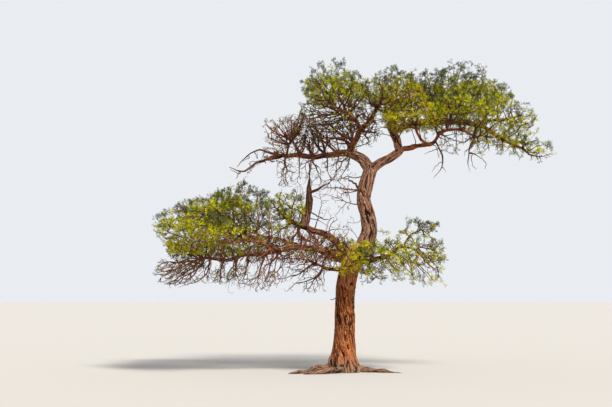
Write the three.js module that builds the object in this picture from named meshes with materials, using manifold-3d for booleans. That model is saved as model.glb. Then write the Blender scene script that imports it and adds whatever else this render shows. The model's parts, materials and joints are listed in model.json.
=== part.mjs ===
// A flat-topped thorn tree of dry savanna at its real size, in millimetres, with +Z up.
// The origin is the centre of the flat cut under the trunk, at ground level. The broad face of the
// crown looks along -Y, and +X runs to the right of that face.
// A limb is a tapering loft through a few stations, each [x, y, z, radius]. A mass of foliage is a
// lumpy dome. What grows first keeps its shape, and each later piece is cut round what is there.
import * as THREE from "three";
import { mergeVertices } from "three/addons/utils/BufferGeometryUtils.js";
import Module from "manifold-3d";

const wasm = await Module();
wasm.setup();

// Driving dimensions
const FORK_HEIGHT = 4470; // where the trunk divides
const LOW_TIER_HEIGHT = 2340; // where the lower boughs leave the trunk
const TRUNK_RADIUS = 222; // at chest height
const FLARE_RADIUS = 355; // of the trunk at ground level, between the root buttresses
const FORK_RADIUS = 172;
const BUTTRESS_SWELL = 0.32; // how far a root buttress stands out, as a share of the radius
const BUTTRESS_WIDTH = 0.42; // radians
const BUTTRESS_FADE = 330; // height over which the buttresses fade into the stem

const GAP = 0.5; // clearance between neighbouring pieces
const RING_SPACING = 370; // between the cross-sections of a limb
const TRUNK_SIDES = 16;
const BOUGH_SIDES = 8;
const THIN_SIDES = 5;
const HUB_RADIUS = 200; // of the plain triangle in the middle of the trunk's flat cut
const LUMP = 0.055; // height of each wave on a mass of foliage, as a share of its size
const LUMP_WAVES = 5;
const SLOWEST_WAVE = 0.9; // waves across a mass
const WAVE_STEP = 0.45; // how much faster each further wave is
const LARGE = 2; // subdivision of a mass
const SMALL = 1;

// Places that several limbs share
const FORK = [610, 0, FORK_HEIGHT];
const LOW_CROTCH = [120, -20, LOW_TIER_HEIGHT];
const LEFT_SPLIT = [-1360, 400, 4910];
const RIGHT_ELBOW = [1270, -140, 4940];
const OUTER_ELBOW = [2090, -340, 5130];
const DROOP_END = [2930, -550, 5180];
const LOW_LEFT_KNEE = [-860, 420, 3240];
const LOW_RIGHT_SPLIT = [1370, -20, 2805];

const bark = new THREE.MeshStandardMaterial({
  color: 0x8a5a3c,
  roughness: 0.92,
  metalness: 0,
});
const deadWood = new THREE.MeshStandardMaterial({
  color: 0x8b7468,
  roughness: 0.95,
  metalness: 0,
});
const foliage = new THREE.MeshStandardMaterial({
  color: 0x8a9426,
  roughness: 0.75,
  metalness: 0,
});
const bareTwigs = new THREE.MeshStandardMaterial({
  color: 0x765c48,
  roughness: 0.9,
  metalness: 0,
});

// A closed mesh as a solid that can be joined and cut.
function solidOf(geometry) {
  geometry.deleteAttribute("normal");
  geometry.deleteAttribute("uv");
  const merged = mergeVertices(geometry, 1e-3);
  return new wasm.Manifold(
    new wasm.Mesh({
      numProp: 3,
      vertProperties: new Float32Array(merged.attributes.position.array),
      triVerts: new Uint32Array(merged.index.array),
    }),
  );
}

function geometryOf(solid) {
  const mesh = solid.getMesh();
  const geometry = new THREE.BufferGeometry();
  geometry.setAttribute("position", new THREE.BufferAttribute(mesh.vertProperties, 3));
  geometry.setIndex(new THREE.BufferAttribute(mesh.triVerts, 1));
  geometry.computeVertexNormals();
  return geometry;
}

function largestPiece(solid) {
  return solid.decompose().sort((a, b) => b.volume() - a.volume())[0];
}

// Limbs

// The stations' radii, evened out along the curve.
function radiusAt(stations, t) {
  const place = t * (stations.length - 1);
  const i = Math.min(Math.floor(place), stations.length - 2);
  return THREE.MathUtils.lerp(stations[i][3], stations[i + 1][3], place - i);
}

// A closed loft through the stations. grow widens and lengthens it, for cutting others round it.
// swell(angle, centre) gives the share by which a point of a ring stands out.
function loft(stations, { sides, grow = 0, swell = () => 0, hub = 0 }) {
  const curve = new THREE.CatmullRomCurve3(
    stations.map(([x, y, z]) => new THREE.Vector3(x, y, z)),
    false,
    "centripetal",
  );
  const steps = Math.max(2, Math.round(curve.getLength() / RING_SPACING));
  const { tangents, normals, binormals } = curve.computeFrenetFrames(steps, false);
  const points = [];
  const faces = [];
  for (let i = 0; i <= steps; i++) {
    const centre = curve.getPointAt(i / steps);
    if (i === 0) centre.addScaledVector(tangents[0], -grow);
    if (i === steps) centre.addScaledVector(tangents[steps], grow);
    const radius = radiusAt(stations, curve.getUtoTmapping(i / steps)) + grow;
    for (let k = 0; k < sides; k++) {
      const angle = (2 * Math.PI * k) / sides;
      const out = new THREE.Vector3()
        .addScaledVector(normals[i], Math.cos(angle))
        .addScaledVector(binormals[i], Math.sin(angle));
      points.push(centre.clone().addScaledVector(out, radius * (1 + swell(out, centre))));
    }
  }
  for (let i = 0; i < steps; i++)
    for (let k = 0; k < sides; k++) {
      const next = (k + 1) % sides;
      const [a, b] = [i * sides + k, i * sides + next];
      faces.push(a, b, a + sides, b, b + sides, a + sides);
    }
  closeStart(points, faces, sides, curve.getPointAt(0).addScaledVector(tangents[0], -grow), hub);
  const tip = points.length;
  const last = steps * sides;
  points.push(curve.getPointAt(1).addScaledVector(tangents[steps], grow));
  for (let k = 0; k < sides; k++) faces.push(last + k, last + ((k + 1) % sides), tip);
  return solidFrom(points, faces);
}

// Closes the first ring, with a fan round its centre or with a plain triangle in the middle.
function closeStart(points, faces, sides, centre, hub) {
  const corners = hub ? 3 : 1;
  const first = points.length;
  for (let c = 0; c < corners; c++) {
    const facing = points[Math.floor(((c + 0.5) * sides) / corners)];
    const way = facing.clone().sub(centre).normalize();
    points.push(centre.clone().addScaledVector(way, hub));
  }
  for (let k = 0; k < sides; k++) {
    const next = (k + 1) % sides;
    const own = Math.floor((k * corners) / sides);
    const after = Math.floor((next * corners) / sides);
    faces.push(next, k, first + own);
    if (after !== own) faces.push(next, first + own, first + after);
  }
  if (hub) faces.push(first + 2, first + 1, first);
}

function solidFrom(points, faces) {
  const geometry = new THREE.BufferGeometry().setFromPoints(points);
  geometry.setIndex(faces);
  return solidOf(geometry);
}

// Masses of foliage

// Waves that run through a mass in directions of its own.
function wavesOf(seed) {
  return Array.from({ length: LUMP_WAVES }, (_, i) => {
    const turn = seed * 2.399 + i * 1.7;
    const tilt = Math.cos(seed * 1.31 + i * 2.1);
    const flat = Math.sqrt(1 - tilt * tilt);
    return {
      axis: new THREE.Vector3(Math.cos(turn) * flat, Math.sin(turn) * flat, tilt),
      rate: Math.PI * (SLOWEST_WAVE + i * WAVE_STEP),
      phase: seed + i,
    };
  });
}

// Scales a coordinate so that the shape ends at -low and high.
function fitted(value, box, axis, low, high) {
  return value > 0 ? (value * high) / box.max[axis] : (value * low) / -box.min[axis];
}

// An uneven dome: half is its [width, depth] from the middle, rise and drop its height above and
// below the middle, and lean turns it down to the right, in radians. It just reaches those sizes.
function dome({ at, half, rise, drop, lean = 0, seed, grow = 0, detail = LARGE }) {
  const geometry = new THREE.IcosahedronGeometry(1, detail);
  const position = geometry.attributes.position;
  const waves = wavesOf(seed);
  const p = new THREE.Vector3();
  for (let i = 0; i < position.count; i++) {
    p.fromBufferAttribute(position, i).normalize();
    let lump = 1;
    for (const { axis, rate, phase } of waves) lump += LUMP * Math.cos(rate * p.dot(axis) + phase);
    p.multiply(new THREE.Vector3(half[0], half[1], p.z > 0 ? rise : drop)).multiplyScalar(lump);
    position.setXYZ(i, p.x, p.y, p.z);
  }
  geometry.rotateY(lean);
  const box = new THREE.Box3().setFromBufferAttribute(position);
  for (let i = 0; i < position.count; i++) {
    p.fromBufferAttribute(position, i);
    p.x = fitted(p.x, box, "x", half[0], half[0]);
    p.y = fitted(p.y, box, "y", half[1], half[1]);
    p.z = fitted(p.z, box, "z", drop, rise);
    p.addScaledVector(p.clone().normalize(), grow);
    position.setXYZ(i, p.x, p.y, p.z);
  }
  geometry.translate(...at);
  return solidOf(geometry);
}

// Assembly

const tree = new THREE.Group();
let taken = null; // what has grown so far, with its clearance

const ground = solidOf(new THREE.BoxGeometry(12000, 12000, 2000).translate(0, 0, -1000));

function place(name, solid, grown, material) {
  const free = taken ? solid.subtract(taken) : solid;
  const mesh = new THREE.Mesh(geometryOf(largestPiece(free)), material);
  mesh.name = name;
  tree.add(mesh);
  taken = taken ? taken.add(grown) : grown;
}

function limb(name, material, sides, stations) {
  place(name, loft(stations, { sides }), loft(stations, { sides, grow: GAP }), material);
}

function root(name, stations) {
  const cut = (options) => loft(stations, { sides: BOUGH_SIDES, ...options }).subtract(ground);
  place(name, cut({}), cut({ grow: GAP }), bark);
}

function mass(name, material, shape) {
  place(name, dome(shape), dome({ ...shape, grow: GAP }), material);
}

// Trunk and roots

const ROOTS = {
  root_left: [
    [-180, -40, 60, 110],
    [-430, -100, 55, 80],
    [-650, -260, 30, 62],
    [-860, -500, 10, 45],
    [-1220, -620, -4, 16],
  ],
  root_front_left: [
    [-60, -180, 90, 95],
    [-130, -420, 50, 70],
    [-380, -590, 20, 55],
    [-640, -680, 8, 38],
    [-900, -720, -4, 14],
  ],
  root_right: [
    [190, -60, 70, 110],
    [430, -140, 35, 72],
    [700, -210, 15, 48],
    [930, -290, 4, 30],
    [1260, -390, -4, 12],
  ],
};

function trunkSwell(out, centre) {
  const fade = Math.exp(-Math.pow(Math.max(0, centre.z) / BUTTRESS_FADE, 1.5));
  let swell = 0;
  for (const [, next] of Object.values(ROOTS)) {
    const off = Math.acos(
      THREE.MathUtils.clamp(
        (out.x * next[0] + out.y * next[1]) / Math.hypot(next[0], next[1]),
        -1,
        1,
      ),
    );
    swell += BUTTRESS_SWELL * Math.exp(-Math.pow(off / BUTTRESS_WIDTH, 2));
  }
  const ribs = 0.035 * Math.sin(3 * Math.atan2(out.y, out.x) + centre.z / 700);
  return swell * fade + ribs * (1 - fade);
}

const TRUNK = [
  [0, 0, 0, FLARE_RADIUS],
  [0, 0, 170, 305],
  [0, 0, 480, 248],
  [20, 30, 1130, TRUNK_RADIUS],
  [35, 15, 1700, 214],
  [90, -40, 2110, 212],
  [220, -50, 2450, 205],
  [400, 10, 2710, 196],
  [560, 90, 2960, 184],
  [590, 150, 3240, 172],
  [560, 165, 3500, 164],
  [470, 140, 3820, 152],
  [485, 80, 4080, 158],
  [580, 15, 4340, FORK_RADIUS],
  [625, 0, 4530, 150],
];
const trunkShape = { sides: TRUNK_SIDES, swell: trunkSwell, hub: HUB_RADIUS };
place("trunk", loft(TRUNK, trunkShape), loft(TRUNK, { ...trunkShape, grow: GAP }), bark);
for (const [name, stations] of Object.entries(ROOTS)) root(name, stations);

// Upper boughs, left of the fork

limb("bough_left", bark, BOUGH_SIDES, [
  [...FORK, 128],
  [450, 20, 4700, 118],
  [250, 80, 4870, 100],
  [40, 160, 4920, 78],
  [-220, 250, 4910, 68],
  [-570, 320, 4895, 60],
  [-980, 380, 4915, 52],
  [-1390, 400, 4910, 44],
]);
limb("bare_arm_low", deadWood, THIN_SIDES, [
  [...LEFT_SPLIT, 36],
  [-1630, 380, 4850, 34],
  [-2020, 270, 4700, 28],
  [-2380, 120, 4470, 19],
  [-2580, 50, 4560, 9],
]);
limb("bare_arm_high", deadWood, THIN_SIDES, [
  [...LEFT_SPLIT, 34],
  [-1640, 460, 4960, 28],
  [-1920, 540, 5070, 22],
  [-2140, 600, 5030, 18],
  [-2300, 640, 4870, 14],
  [-2480, 660, 4690, 8],
]);
limb("bough_left_rising", bark, THIN_SIDES, [
  [-1290, 400, 4910, 34],
  [-1230, 330, 5080, 30],
  [-1180, 260, 5200, 26],
]);
limb("bough_left_upright", bark, BOUGH_SIDES, [
  [150, 120, 4890, 78],
  [110, 90, 5070, 72],
  [230, 20, 5200, 64],
  [390, -60, 5340, 56],
  [520, -120, 5560, 48],
  [760, -190, 5890, 34],
]);
limb("bough_top_left", bark, THIN_SIDES, [
  [400, -70, 5360, 46],
  [310, -160, 5580, 42],
  [160, -240, 5740, 36],
  [-10, -300, 5860, 30],
]);
limb("bough_back_left", bark, THIN_SIDES, [
  [150, 150, 4930, 54],
  [170, 450, 5060, 46],
  [225, 800, 5260, 40],
  [260, 1100, 5560, 34],
  [180, 1240, 6240, 24],
]);

// Upper boughs, right of the fork

limb("bough_right", bark, BOUGH_SIDES, [
  [...FORK, 110],
  [830, -50, 4660, 96],
  [1060, -100, 4800, 90],
  [1290, -145, 4960, 88],
]);
limb("bough_right_upright", bark, BOUGH_SIDES, [
  [...RIGHT_ELBOW, 82],
  [1220, -100, 5190, 96],
  [1130, -20, 5430, 84],
  [1080, 50, 5620, 68],
  [1120, 60, 5840, 50],
]);
limb("bough_right_outer", bark, BOUGH_SIDES, [
  [...RIGHT_ELBOW, 70],
  [1480, -200, 4960, 62],
  [1670, -260, 5040, 50],
  [1880, -300, 5050, 44],
  OUTER_ELBOW.concat(40),
  [2130, -370, 5240, 36],
  [2320, -420, 5345, 33],
  [2660, -500, 5330, 28],
  [2950, -555, 5170, 24],
]);
limb("bough_far_right", bark, BOUGH_SIDES, [
  [1140, 0, 5420, 76],
  [1430, 130, 5560, 72],
  [1900, 220, 5650, 68],
  [2370, 260, 5690, 66],
  [2770, 250, 5690, 62],
  [3080, 200, 5600, 54],
  [3380, 100, 5410, 46],
  [3700, 20, 5200, 38],
  [4060, -60, 5000, 28],
]);
limb("bough_top_right", bark, THIN_SIDES, [
  [1990, 225, 5660, 50],
  [2170, 190, 5800, 44],
  [2350, 140, 5960, 34],
]);
limb("bough_right_shoulder", bark, THIN_SIDES, [
  [2880, 240, 5665, 46],
  [3160, 200, 5670, 40],
  [3480, 160, 5650, 34],
  [3760, 130, 5690, 26],
]);
limb("bough_back_centre", bark, THIN_SIDES, [
  [1250, -60, 5080, 56],
  [1280, 320, 5150, 48],
  [1290, 720, 5350, 42],
  [1310, 1170, 5700, 36],
  [1380, 1320, 6240, 26],
]);
limb("bough_back_right", bark, THIN_SIDES, [
  [2350, 260, 5690, 48],
  [2440, 700, 5790, 40],
  [2600, 1120, 5960, 34],
  [2740, 1400, 6240, 26],
]);
limb("bough_front_centre", bark, THIN_SIDES, [
  [1880, -300, 5050, 36],
  [1700, -560, 5110, 32],
  [1540, -900, 5300, 26],
]);
limb("bough_front_right", bark, THIN_SIDES, [
  [2130, -370, 5240, 34],
  [2210, -680, 5300, 30],
  [2260, -1010, 5400, 26],
]);
limb("dead_drooper_inner", deadWood, THIN_SIDES, [
  [2080, -340, 5110, 26],
  [2130, -420, 4940, 22],
  [2160, -500, 4720, 17],
  [2140, -550, 4530, 14],
  [2010, -580, 4340, 10],
  [1930, -600, 4220, 6],
]);
limb("dead_drooper_outer", deadWood, THIN_SIDES, [
  [...DROOP_END, 24],
  [2770, -600, 4970, 20],
  [2730, -630, 4850, 17],
  [2740, -660, 4710, 14],
  [2690, -700, 4530, 10],
  [2770, -740, 4330, 5],
]);

// Lower boughs, left of the trunk

limb("low_bough_left", bark, BOUGH_SIDES, [
  [200, -40, 2440, 96],
  [40, 100, 2680, 86],
  [-260, 250, 2960, 76],
  [-590, 360, 3130, 68],
  [-880, 420, 3250, 62],
  [-1150, 420, 3370, 50],
]);
limb("snag", deadWood, THIN_SIDES, [
  [...LOW_LEFT_KNEE, 72],
  [-810, 400, 3560, 66],
  [-760, 360, 3850, 56],
  [-750, 325, 4030, 50],
  [-748, 325, 4100, 24],
  [-752, 330, 4280, 19],
  [-780, 340, 4560, 15],
  [-765, 340, 4830, 11],
]);
limb("snag_arm", deadWood, THIN_SIDES, [
  [-750, 330, 3985, 42],
  [-600, 220, 4090, 34],
  [-520, 160, 4110, 28],
  [-420, 80, 4190, 16],
  [-320, 0, 4230, 8],
]);
limb("low_bough_long", bark, BOUGH_SIDES, [
  [...LOW_CROTCH, 84],
  [-180, -200, 2560, 76],
  [-540, -340, 2700, 68],
  [-980, -420, 2720, 62],
  [-1420, -440, 2680, 56],
  [-1900, -420, 2580, 50],
  [-2350, -380, 2520, 44],
  [-2700, -340, 2470, 38],
  [-3050, -300, 2510, 32],
]);
limb("low_bough_inner", bark, THIN_SIDES, [
  [110, 0, 2250, 52],
  [-80, 60, 2240, 46],
  [-360, 100, 2290, 38],
  [-620, 130, 2380, 30],
]);
limb("low_bough_outer", bark, THIN_SIDES, [
  [-1420, -440, 2690, 46],
  [-1760, -330, 2860, 42],
  [-2150, -180, 3030, 38],
  [-2560, -60, 3190, 34],
  [-2920, 0, 3290, 28],
]);
limb("low_bough_back_left", bark, THIN_SIDES, [
  [190, 20, 2430, 62],
  [-70, 300, 2540, 54],
  [-470, 640, 2680, 48],
  [-940, 950, 2820, 42],
  [-1480, 1150, 2980, 36],
  [-2000, 1240, 3120, 28],
]);
limb("low_bough_front_left", bark, THIN_SIDES, [
  [-1400, -440, 2690, 42],
  [-1750, -720, 2780, 36],
  [-2120, -960, 2880, 28],
]);

// Lower boughs, right of the trunk and across it

limb("low_bough_right", bark, BOUGH_SIDES, [
  [160, -20, 2330, 76],
  [370, -60, 2400, 68],
  [630, -105, 2420, 56],
  [880, -120, 2490, 46],
  [1060, -100, 2630, 38],
  LOW_RIGHT_SPLIT.concat(30),
  [1470, -70, 2760, 25],
  [1620, -130, 2690, 20],
]);
limb("low_right_upper", bark, THIN_SIDES, [
  [...LOW_RIGHT_SPLIT, 26],
  [1460, 60, 2950, 22],
  [1620, 120, 3090, 17],
  [1790, 150, 3180, 12],
]);
limb("low_bough_back", bark, THIN_SIDES, [
  [230, 20, 2440, 56],
  [260, 380, 2520, 48],
  [240, 760, 2620, 38],
]);
limb("low_bough_front", bark, THIN_SIDES, [
  [150, -80, 2300, 44],
  [180, -330, 2360, 36],
  [190, -560, 2430, 28],
]);

// Masses of the upper crown

mass("mass_top_left", foliage, {
  at: [-215, -350, 6240],
  half: [815, 1100],
  rise: 650,
  drop: 570,
  seed: 1,
});
mass("mass_top_right", foliage, {
  at: [2690, 100, 6200],
  half: [890, 1250],
  rise: 770,
  drop: 430,
  seed: 2,
});
mass("mass_top_centre", foliage, {
  at: [1150, -250, 6120],
  half: [780, 1100],
  rise: 630,
  drop: 450,
  seed: 3,
});
mass("mass_right_shoulder", foliage, {
  at: [3480, 0, 6030],
  half: [550, 1100],
  rise: 590,
  drop: 380,
  lean: 0.18,
  seed: 4,
});
mass("mass_top_left_back", foliage, {
  at: [-40, 1250, 6450],
  half: [850, 950],
  rise: 500,
  drop: 440,
  seed: 5,
});
mass("mass_back_centre", foliage, {
  at: [1560, 1400, 6460],
  half: [880, 950],
  rise: 440,
  drop: 420,
  seed: 6,
});
mass("mass_back_right", foliage, {
  at: [3000, 1550, 6410],
  half: [1050, 950],
  rise: 520,
  drop: 440,
  seed: 7,
});
mass("mass_front_right", foliage, {
  at: [2505, -1350, 5610],
  half: [915, 850],
  rise: 520,
  drop: 390,
  seed: 8,
});
mass("mass_front_centre", foliage, {
  at: [1350, -1150, 5460],
  half: [690, 750],
  rise: 330,
  drop: 270,
  seed: 9,
});
mass("mass_left_shoulder", bareTwigs, {
  at: [-900, 200, 5380],
  half: [940, 1050],
  rise: 490,
  drop: 370,
  lean: -0.1,
  seed: 10,
});
mass("mass_right_flank", foliage, {
  at: [4015, 100, 5710],
  half: [445, 850],
  rise: 420,
  drop: 350,
  detail: SMALL,
  seed: 11,
});
mass("mass_far_right", foliage, {
  at: [4210, -100, 4960],
  half: [610, 680],
  rise: 320,
  drop: 300,
  lean: 0.2,
  detail: SMALL,
  seed: 12,
});

// Masses of the lower crown, left

mass("mass_low_left_top", foliage, {
  at: [-2365, 100, 3680],
  half: [1115, 1150],
  rise: 570,
  drop: 480,
  lean: -0.08,
  seed: 13,
});
mass("mass_low_left_outer", foliage, {
  at: [-3485, 0, 3310],
  half: [835, 1050],
  rise: 590,
  drop: 560,
  lean: -0.2,
  seed: 14,
});
mass("mass_low_left_inner", foliage, {
  at: [-1440, 250, 3370],
  half: [550, 800],
  rise: 500,
  drop: 380,
  seed: 15,
});
mass("mass_low_left_back", foliage, {
  at: [-2890, 1300, 3340],
  half: [1180, 850],
  rise: 620,
  drop: 480,
  seed: 16,
});
mass("mass_low_left_front", foliage, {
  at: [-2765, -1100, 3060],
  half: [935, 800],
  rise: 500,
  drop: 420,
  seed: 17,
});
mass("mass_low_left_tail", bareTwigs, {
  at: [-3580, -200, 2290],
  half: [690, 800],
  rise: 370,
  drop: 450,
  lean: -0.3,
  seed: 18,
});
mass("mass_low_left_under", bareTwigs, {
  at: [-2125, -280, 2130],
  half: [885, 800],
  rise: 260,
  drop: 380,
  seed: 19,
});
mass("mass_tangle", bareTwigs, {
  at: [-720, 150, 2560],
  half: [530, 370],
  rise: 350,
  drop: 880,
  seed: 20,
});

// Masses of the lower crown, right of the trunk and across it

mass("mass_low_right_inner", foliage, {
  at: [980, -560, 2580],
  half: [510, 330],
  rise: 400,
  drop: 470,
  detail: SMALL,
  seed: 21,
});
mass("mass_low_right_outer", foliage, {
  at: [1840, -100, 2560],
  half: [490, 700],
  rise: 320,
  drop: 480,
  seed: 22,
});
mass("mass_low_right_tip", foliage, {
  at: [1940, 150, 3200],
  half: [260, 400],
  rise: 190,
  drop: 130,
  detail: SMALL,
  seed: 23,
});
mass("mass_trunk_front", foliage, {
  at: [235, -780, 2440],
  half: [385, 460],
  rise: 360,
  drop: 430,
  detail: SMALL,
  seed: 24,
});
mass("mass_low_back", foliage, {
  at: [325, 1250, 2670],
  half: [885, 850],
  rise: 380,
  drop: 380,
  seed: 25,
});

export default tree;
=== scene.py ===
import json
import logging
import math
from dataclasses import dataclass, field
from enum import Enum, IntEnum

import bmesh
import bpy
import numpy as np
from mathutils import Euler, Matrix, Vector
from mathutils.bvhtree import BVHTree

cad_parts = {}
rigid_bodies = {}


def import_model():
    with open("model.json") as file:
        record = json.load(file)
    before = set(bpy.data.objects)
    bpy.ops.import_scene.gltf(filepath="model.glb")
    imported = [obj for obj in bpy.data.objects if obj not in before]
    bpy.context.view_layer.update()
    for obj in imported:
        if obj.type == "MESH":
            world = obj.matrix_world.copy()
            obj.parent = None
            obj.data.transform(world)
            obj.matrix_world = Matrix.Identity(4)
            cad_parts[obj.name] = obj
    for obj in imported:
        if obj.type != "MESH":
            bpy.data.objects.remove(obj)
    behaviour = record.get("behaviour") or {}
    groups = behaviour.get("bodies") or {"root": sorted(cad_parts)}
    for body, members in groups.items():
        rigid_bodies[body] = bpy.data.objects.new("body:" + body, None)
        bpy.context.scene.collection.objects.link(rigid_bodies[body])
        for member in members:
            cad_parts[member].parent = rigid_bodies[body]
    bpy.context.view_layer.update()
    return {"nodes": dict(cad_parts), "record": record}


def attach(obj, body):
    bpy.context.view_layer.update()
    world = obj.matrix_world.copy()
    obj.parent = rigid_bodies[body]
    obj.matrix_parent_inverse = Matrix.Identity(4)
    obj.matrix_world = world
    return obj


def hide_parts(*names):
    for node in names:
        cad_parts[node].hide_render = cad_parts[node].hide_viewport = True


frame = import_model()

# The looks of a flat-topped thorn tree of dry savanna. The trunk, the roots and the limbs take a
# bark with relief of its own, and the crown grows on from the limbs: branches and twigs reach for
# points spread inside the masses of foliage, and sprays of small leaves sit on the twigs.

logging.basicConfig(level=logging.INFO, format="%(message)s")
log = logging.getLogger("acacia")

BODY = "root"
TRUNK = "trunk"
Z_UP = np.array([0.0, 0.0, 1.0])
# Short names for types
Triple = tuple[float, float, float]
Colour = Triple
Array = np.ndarray
Mesh = bpy.types.Mesh
Node = bpy.types.Node
Piece = bpy.types.Object
Socket = bpy.types.NodeSocket
Material = bpy.types.Material

# Distance between the points at which a limb's axis is read, in metres.
AXIS_SPACING = 0.02
# A distance that nothing in the scene reaches.
FAR = 1e9


class Slot(Enum):
    """The record's material slots."""

    BARK = "bark"
    DEAD_WOOD = "dead_wood"
    FOLIAGE = "foliage"
    BARE_TWIGS = "bare_twigs"


class Tint(IntEnum):
    """The tints of leaf."""

    LIME = 0
    YELLOW_GREEN = 1
    OLIVE = 2
    DEEP_GREEN = 3
    GREY_GREEN = 4
    RUST = 5
    DARK = 6
    GOLD = 7


class TubeSides(IntEnum):
    """How many sides a twig's tube has."""

    THIN = 3
    MIDDLING = 5
    DEAD = 6
    STOUT = 8


class NoiseSeed(IntEnum):
    """Seeds of the smooth noises, one for each use."""

    BARK_BEND = 3
    BARK_RIDGE = 11
    BARK_CROSS_CRACK = 12
    BARK_SMALL_CRACK = 13
    BARK_SECOND_RIDGE = 14
    BARK_LUMP = 21
    CROWN_CLUMP = 31
    CROWN_TUFT = 33
    TINT_PATCH = 41
    TINT_SPECK = 42
    LEAFY_PATCH = 43
    LIMB_BEND = 51
    LIMB_KINK = 61


# Numbers in space

# Whole numbers that stir the place of a lattice's cell into a random number.
CELL_STIR = (73856093, 19349663, 83492791)
SEED_STIR = 2654435761
BIT_STIR = 0x45D9F3B
ALL_BITS = 0xFFFFFFFF
HALF_RANGE = 0x7FFFFFFF
# Steps between two points that a curve passes.
CURVE_STEPS = 24


def unit(vectors: Array) -> Array:
    """The direction of one vector, or of each in a row of them, at length one."""
    return vectors / np.maximum(np.linalg.norm(vectors, axis=-1, keepdims=True), 1e-9)


@dataclass(frozen=True)
class Ramp:
    """A smooth step from 0 at low to 1 at high."""

    low: float
    high: float

    def at(self, value: Array) -> Array:
        """The step at some numbers."""
        t = np.clip((value - self.low) / (self.high - self.low), 0, 1)
        return t * t * (3 - 2 * t)


@dataclass(frozen=True)
class LatticeNoise:
    """Smooth noise in space that is the same on each run."""

    seed: int

    def _corner(self, cell: Array) -> Array:
        """A steady random number for each cell of the lattice.

        Args:
            cell: rows of three whole numbers.

        Returns:
            Numbers from -1 to 1.
        """
        stirred = cell * CELL_STIR
        mixed = stirred[:, 0] ^ stirred[:, 1] ^ stirred[:, 2]
        mixed = (mixed ^ (self.seed * SEED_STIR)) & ALL_BITS
        for _ in range(2):
            mixed = ((mixed ^ (mixed >> 16)) * BIT_STIR) & ALL_BITS
        return (mixed ^ (mixed >> 16)) / HALF_RANGE - 1.0

    def at(self, points: Array) -> Array:
        """The noise at points whose cells are one unit wide.

        Args:
            points: rows of x, y, z.

        Returns:
            One number from -1 to 1 for each point.
        """
        cell = np.floor(points).astype(np.int64)
        t = points - cell
        t = t * t * (3 - 2 * t)
        total = np.zeros(len(points))
        for corner in np.ndindex(2, 2, 2):
            step = np.array(corner)
            weight = np.prod(np.where(step, t, 1 - t), axis=1)
            total += weight * self._corner(cell + step)
        return total


def sway(seed: int, points: Array) -> Array:
    """A smooth noise vector at each point, from three seeds in a row."""
    return np.stack([LatticeNoise(seed + k).at(points) for k in range(3)], axis=1)


def spline(points: Array, radii: Array, spacing: float) -> tuple[Array, Array]:
    """An even walk along the smooth curve through some points.

    Args:
        points: the places that the curve passes.
        radii: a radius at each.
        spacing: distance between the points of the walk.

    Returns:
        The points of the walk and their radii.
    """
    ends = np.vstack([2 * points[0] - points[1], points, 2 * points[-1] - points[-2]])
    t = np.linspace(0, 1, CURVE_STEPS, endpoint=False)[:, None]
    fine, thick = [], []
    for i in range(len(points) - 1):
        a, b, c, d = ends[i : i + 4]
        square = (2 * a - 5 * b + 4 * c - d) * t**2
        cube = (3 * b - a - 3 * c + d) * t**3
        fine.append(0.5 * (2 * b + (c - a) * t + square + cube))
        thick.append(radii[i] + (radii[i + 1] - radii[i]) * t[:, 0])
    fine, thick = np.vstack([*fine, points[-1:]]), np.append(np.concatenate(thick), radii[-1])
    along = np.append(0, np.cumsum(np.linalg.norm(np.diff(fine, axis=0), axis=1)))
    count = max(2, round(along[-1] / spacing) + 1)
    want = np.linspace(0, along[-1], count)
    walk = np.stack([np.interp(want, along, fine[:, k]) for k in range(3)], axis=1)
    return walk, np.interp(want, along, thick)


def frames_along(points: Array) -> tuple[Array, Array, Array]:
    """Cross-section axes that follow a path without twisting.

    Args:
        points: the path.

    Returns:
        The path's direction and two axes across it, at each point.
    """
    tangent = unit(np.gradient(points, axis=0))
    side = np.zeros_like(tangent)
    start = np.array([0.0, 1.0, 0.0]) if abs(tangent[0, 1]) < 0.9 else np.array([1.0, 0.0, 0.0])
    side[0] = unit(start - tangent[0] * (start @ tangent[0]))
    for i in range(1, len(points)):
        side[i] = unit(side[i - 1] - tangent[i] * (side[i - 1] @ tangent[i]))
    return tangent, side, np.cross(tangent, side)


def tube(path: Array, radii: Array, sides: int) -> tuple[Array, list[tuple[int, ...]]]:
    """A closed tube along a path.

    Args:
        path: the points of its axis.
        radii: its radius at each.
        sides: how many sides it has.

    Returns:
        Its points and its faces, which point outwards.
    """
    _, side, across = frames_along(path)
    turn = 2 * math.pi * np.arange(sides) / sides
    rim = side[:, None] * np.cos(turn)[None, :, None] + across[:, None] * np.sin(turn)[None, :, None]
    points = (path[:, None] + radii[:, None, None] * rim).reshape(-1, 3)
    faces: list[tuple[int, ...]] = []
    for row in range(len(path) - 1):
        for k in range(sides):
            a, b = row * sides + k, row * sides + (k + 1) % sides
            faces.append((a, b, b + sides, a + sides))
    last = (len(path) - 1) * sides
    faces.append(tuple(range(sides))[::-1])
    faces.append(tuple(last + k for k in range(sides)))
    return points, faces


# Pieces


def linked(name: str, data: bpy.types.ID) -> Piece:
    """A new object in the scene, at the origin.

    Args:
        name: the object's name.
        data: its mesh, lamp or camera.

    Returns:
        The object.
    """
    made = bpy.data.objects.new(name, data)
    bpy.context.scene.collection.objects.link(made)
    return made


def mesh_piece(name: str, points: Array, faces: list, edges: list | None = None) -> Piece:
    """A new object from points, faces and loose edges.

    Args:
        name: the object's name.
        points: rows of x, y, z.
        faces: corner numbers for each face.
        edges: end numbers for each loose edge, if it has any.

    Returns:
        The object, linked to the scene.
    """
    mesh = bpy.data.meshes.new(name)
    mesh.from_pydata(points, edges or [], faces)
    mesh.update()
    return linked(name, mesh)


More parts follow.
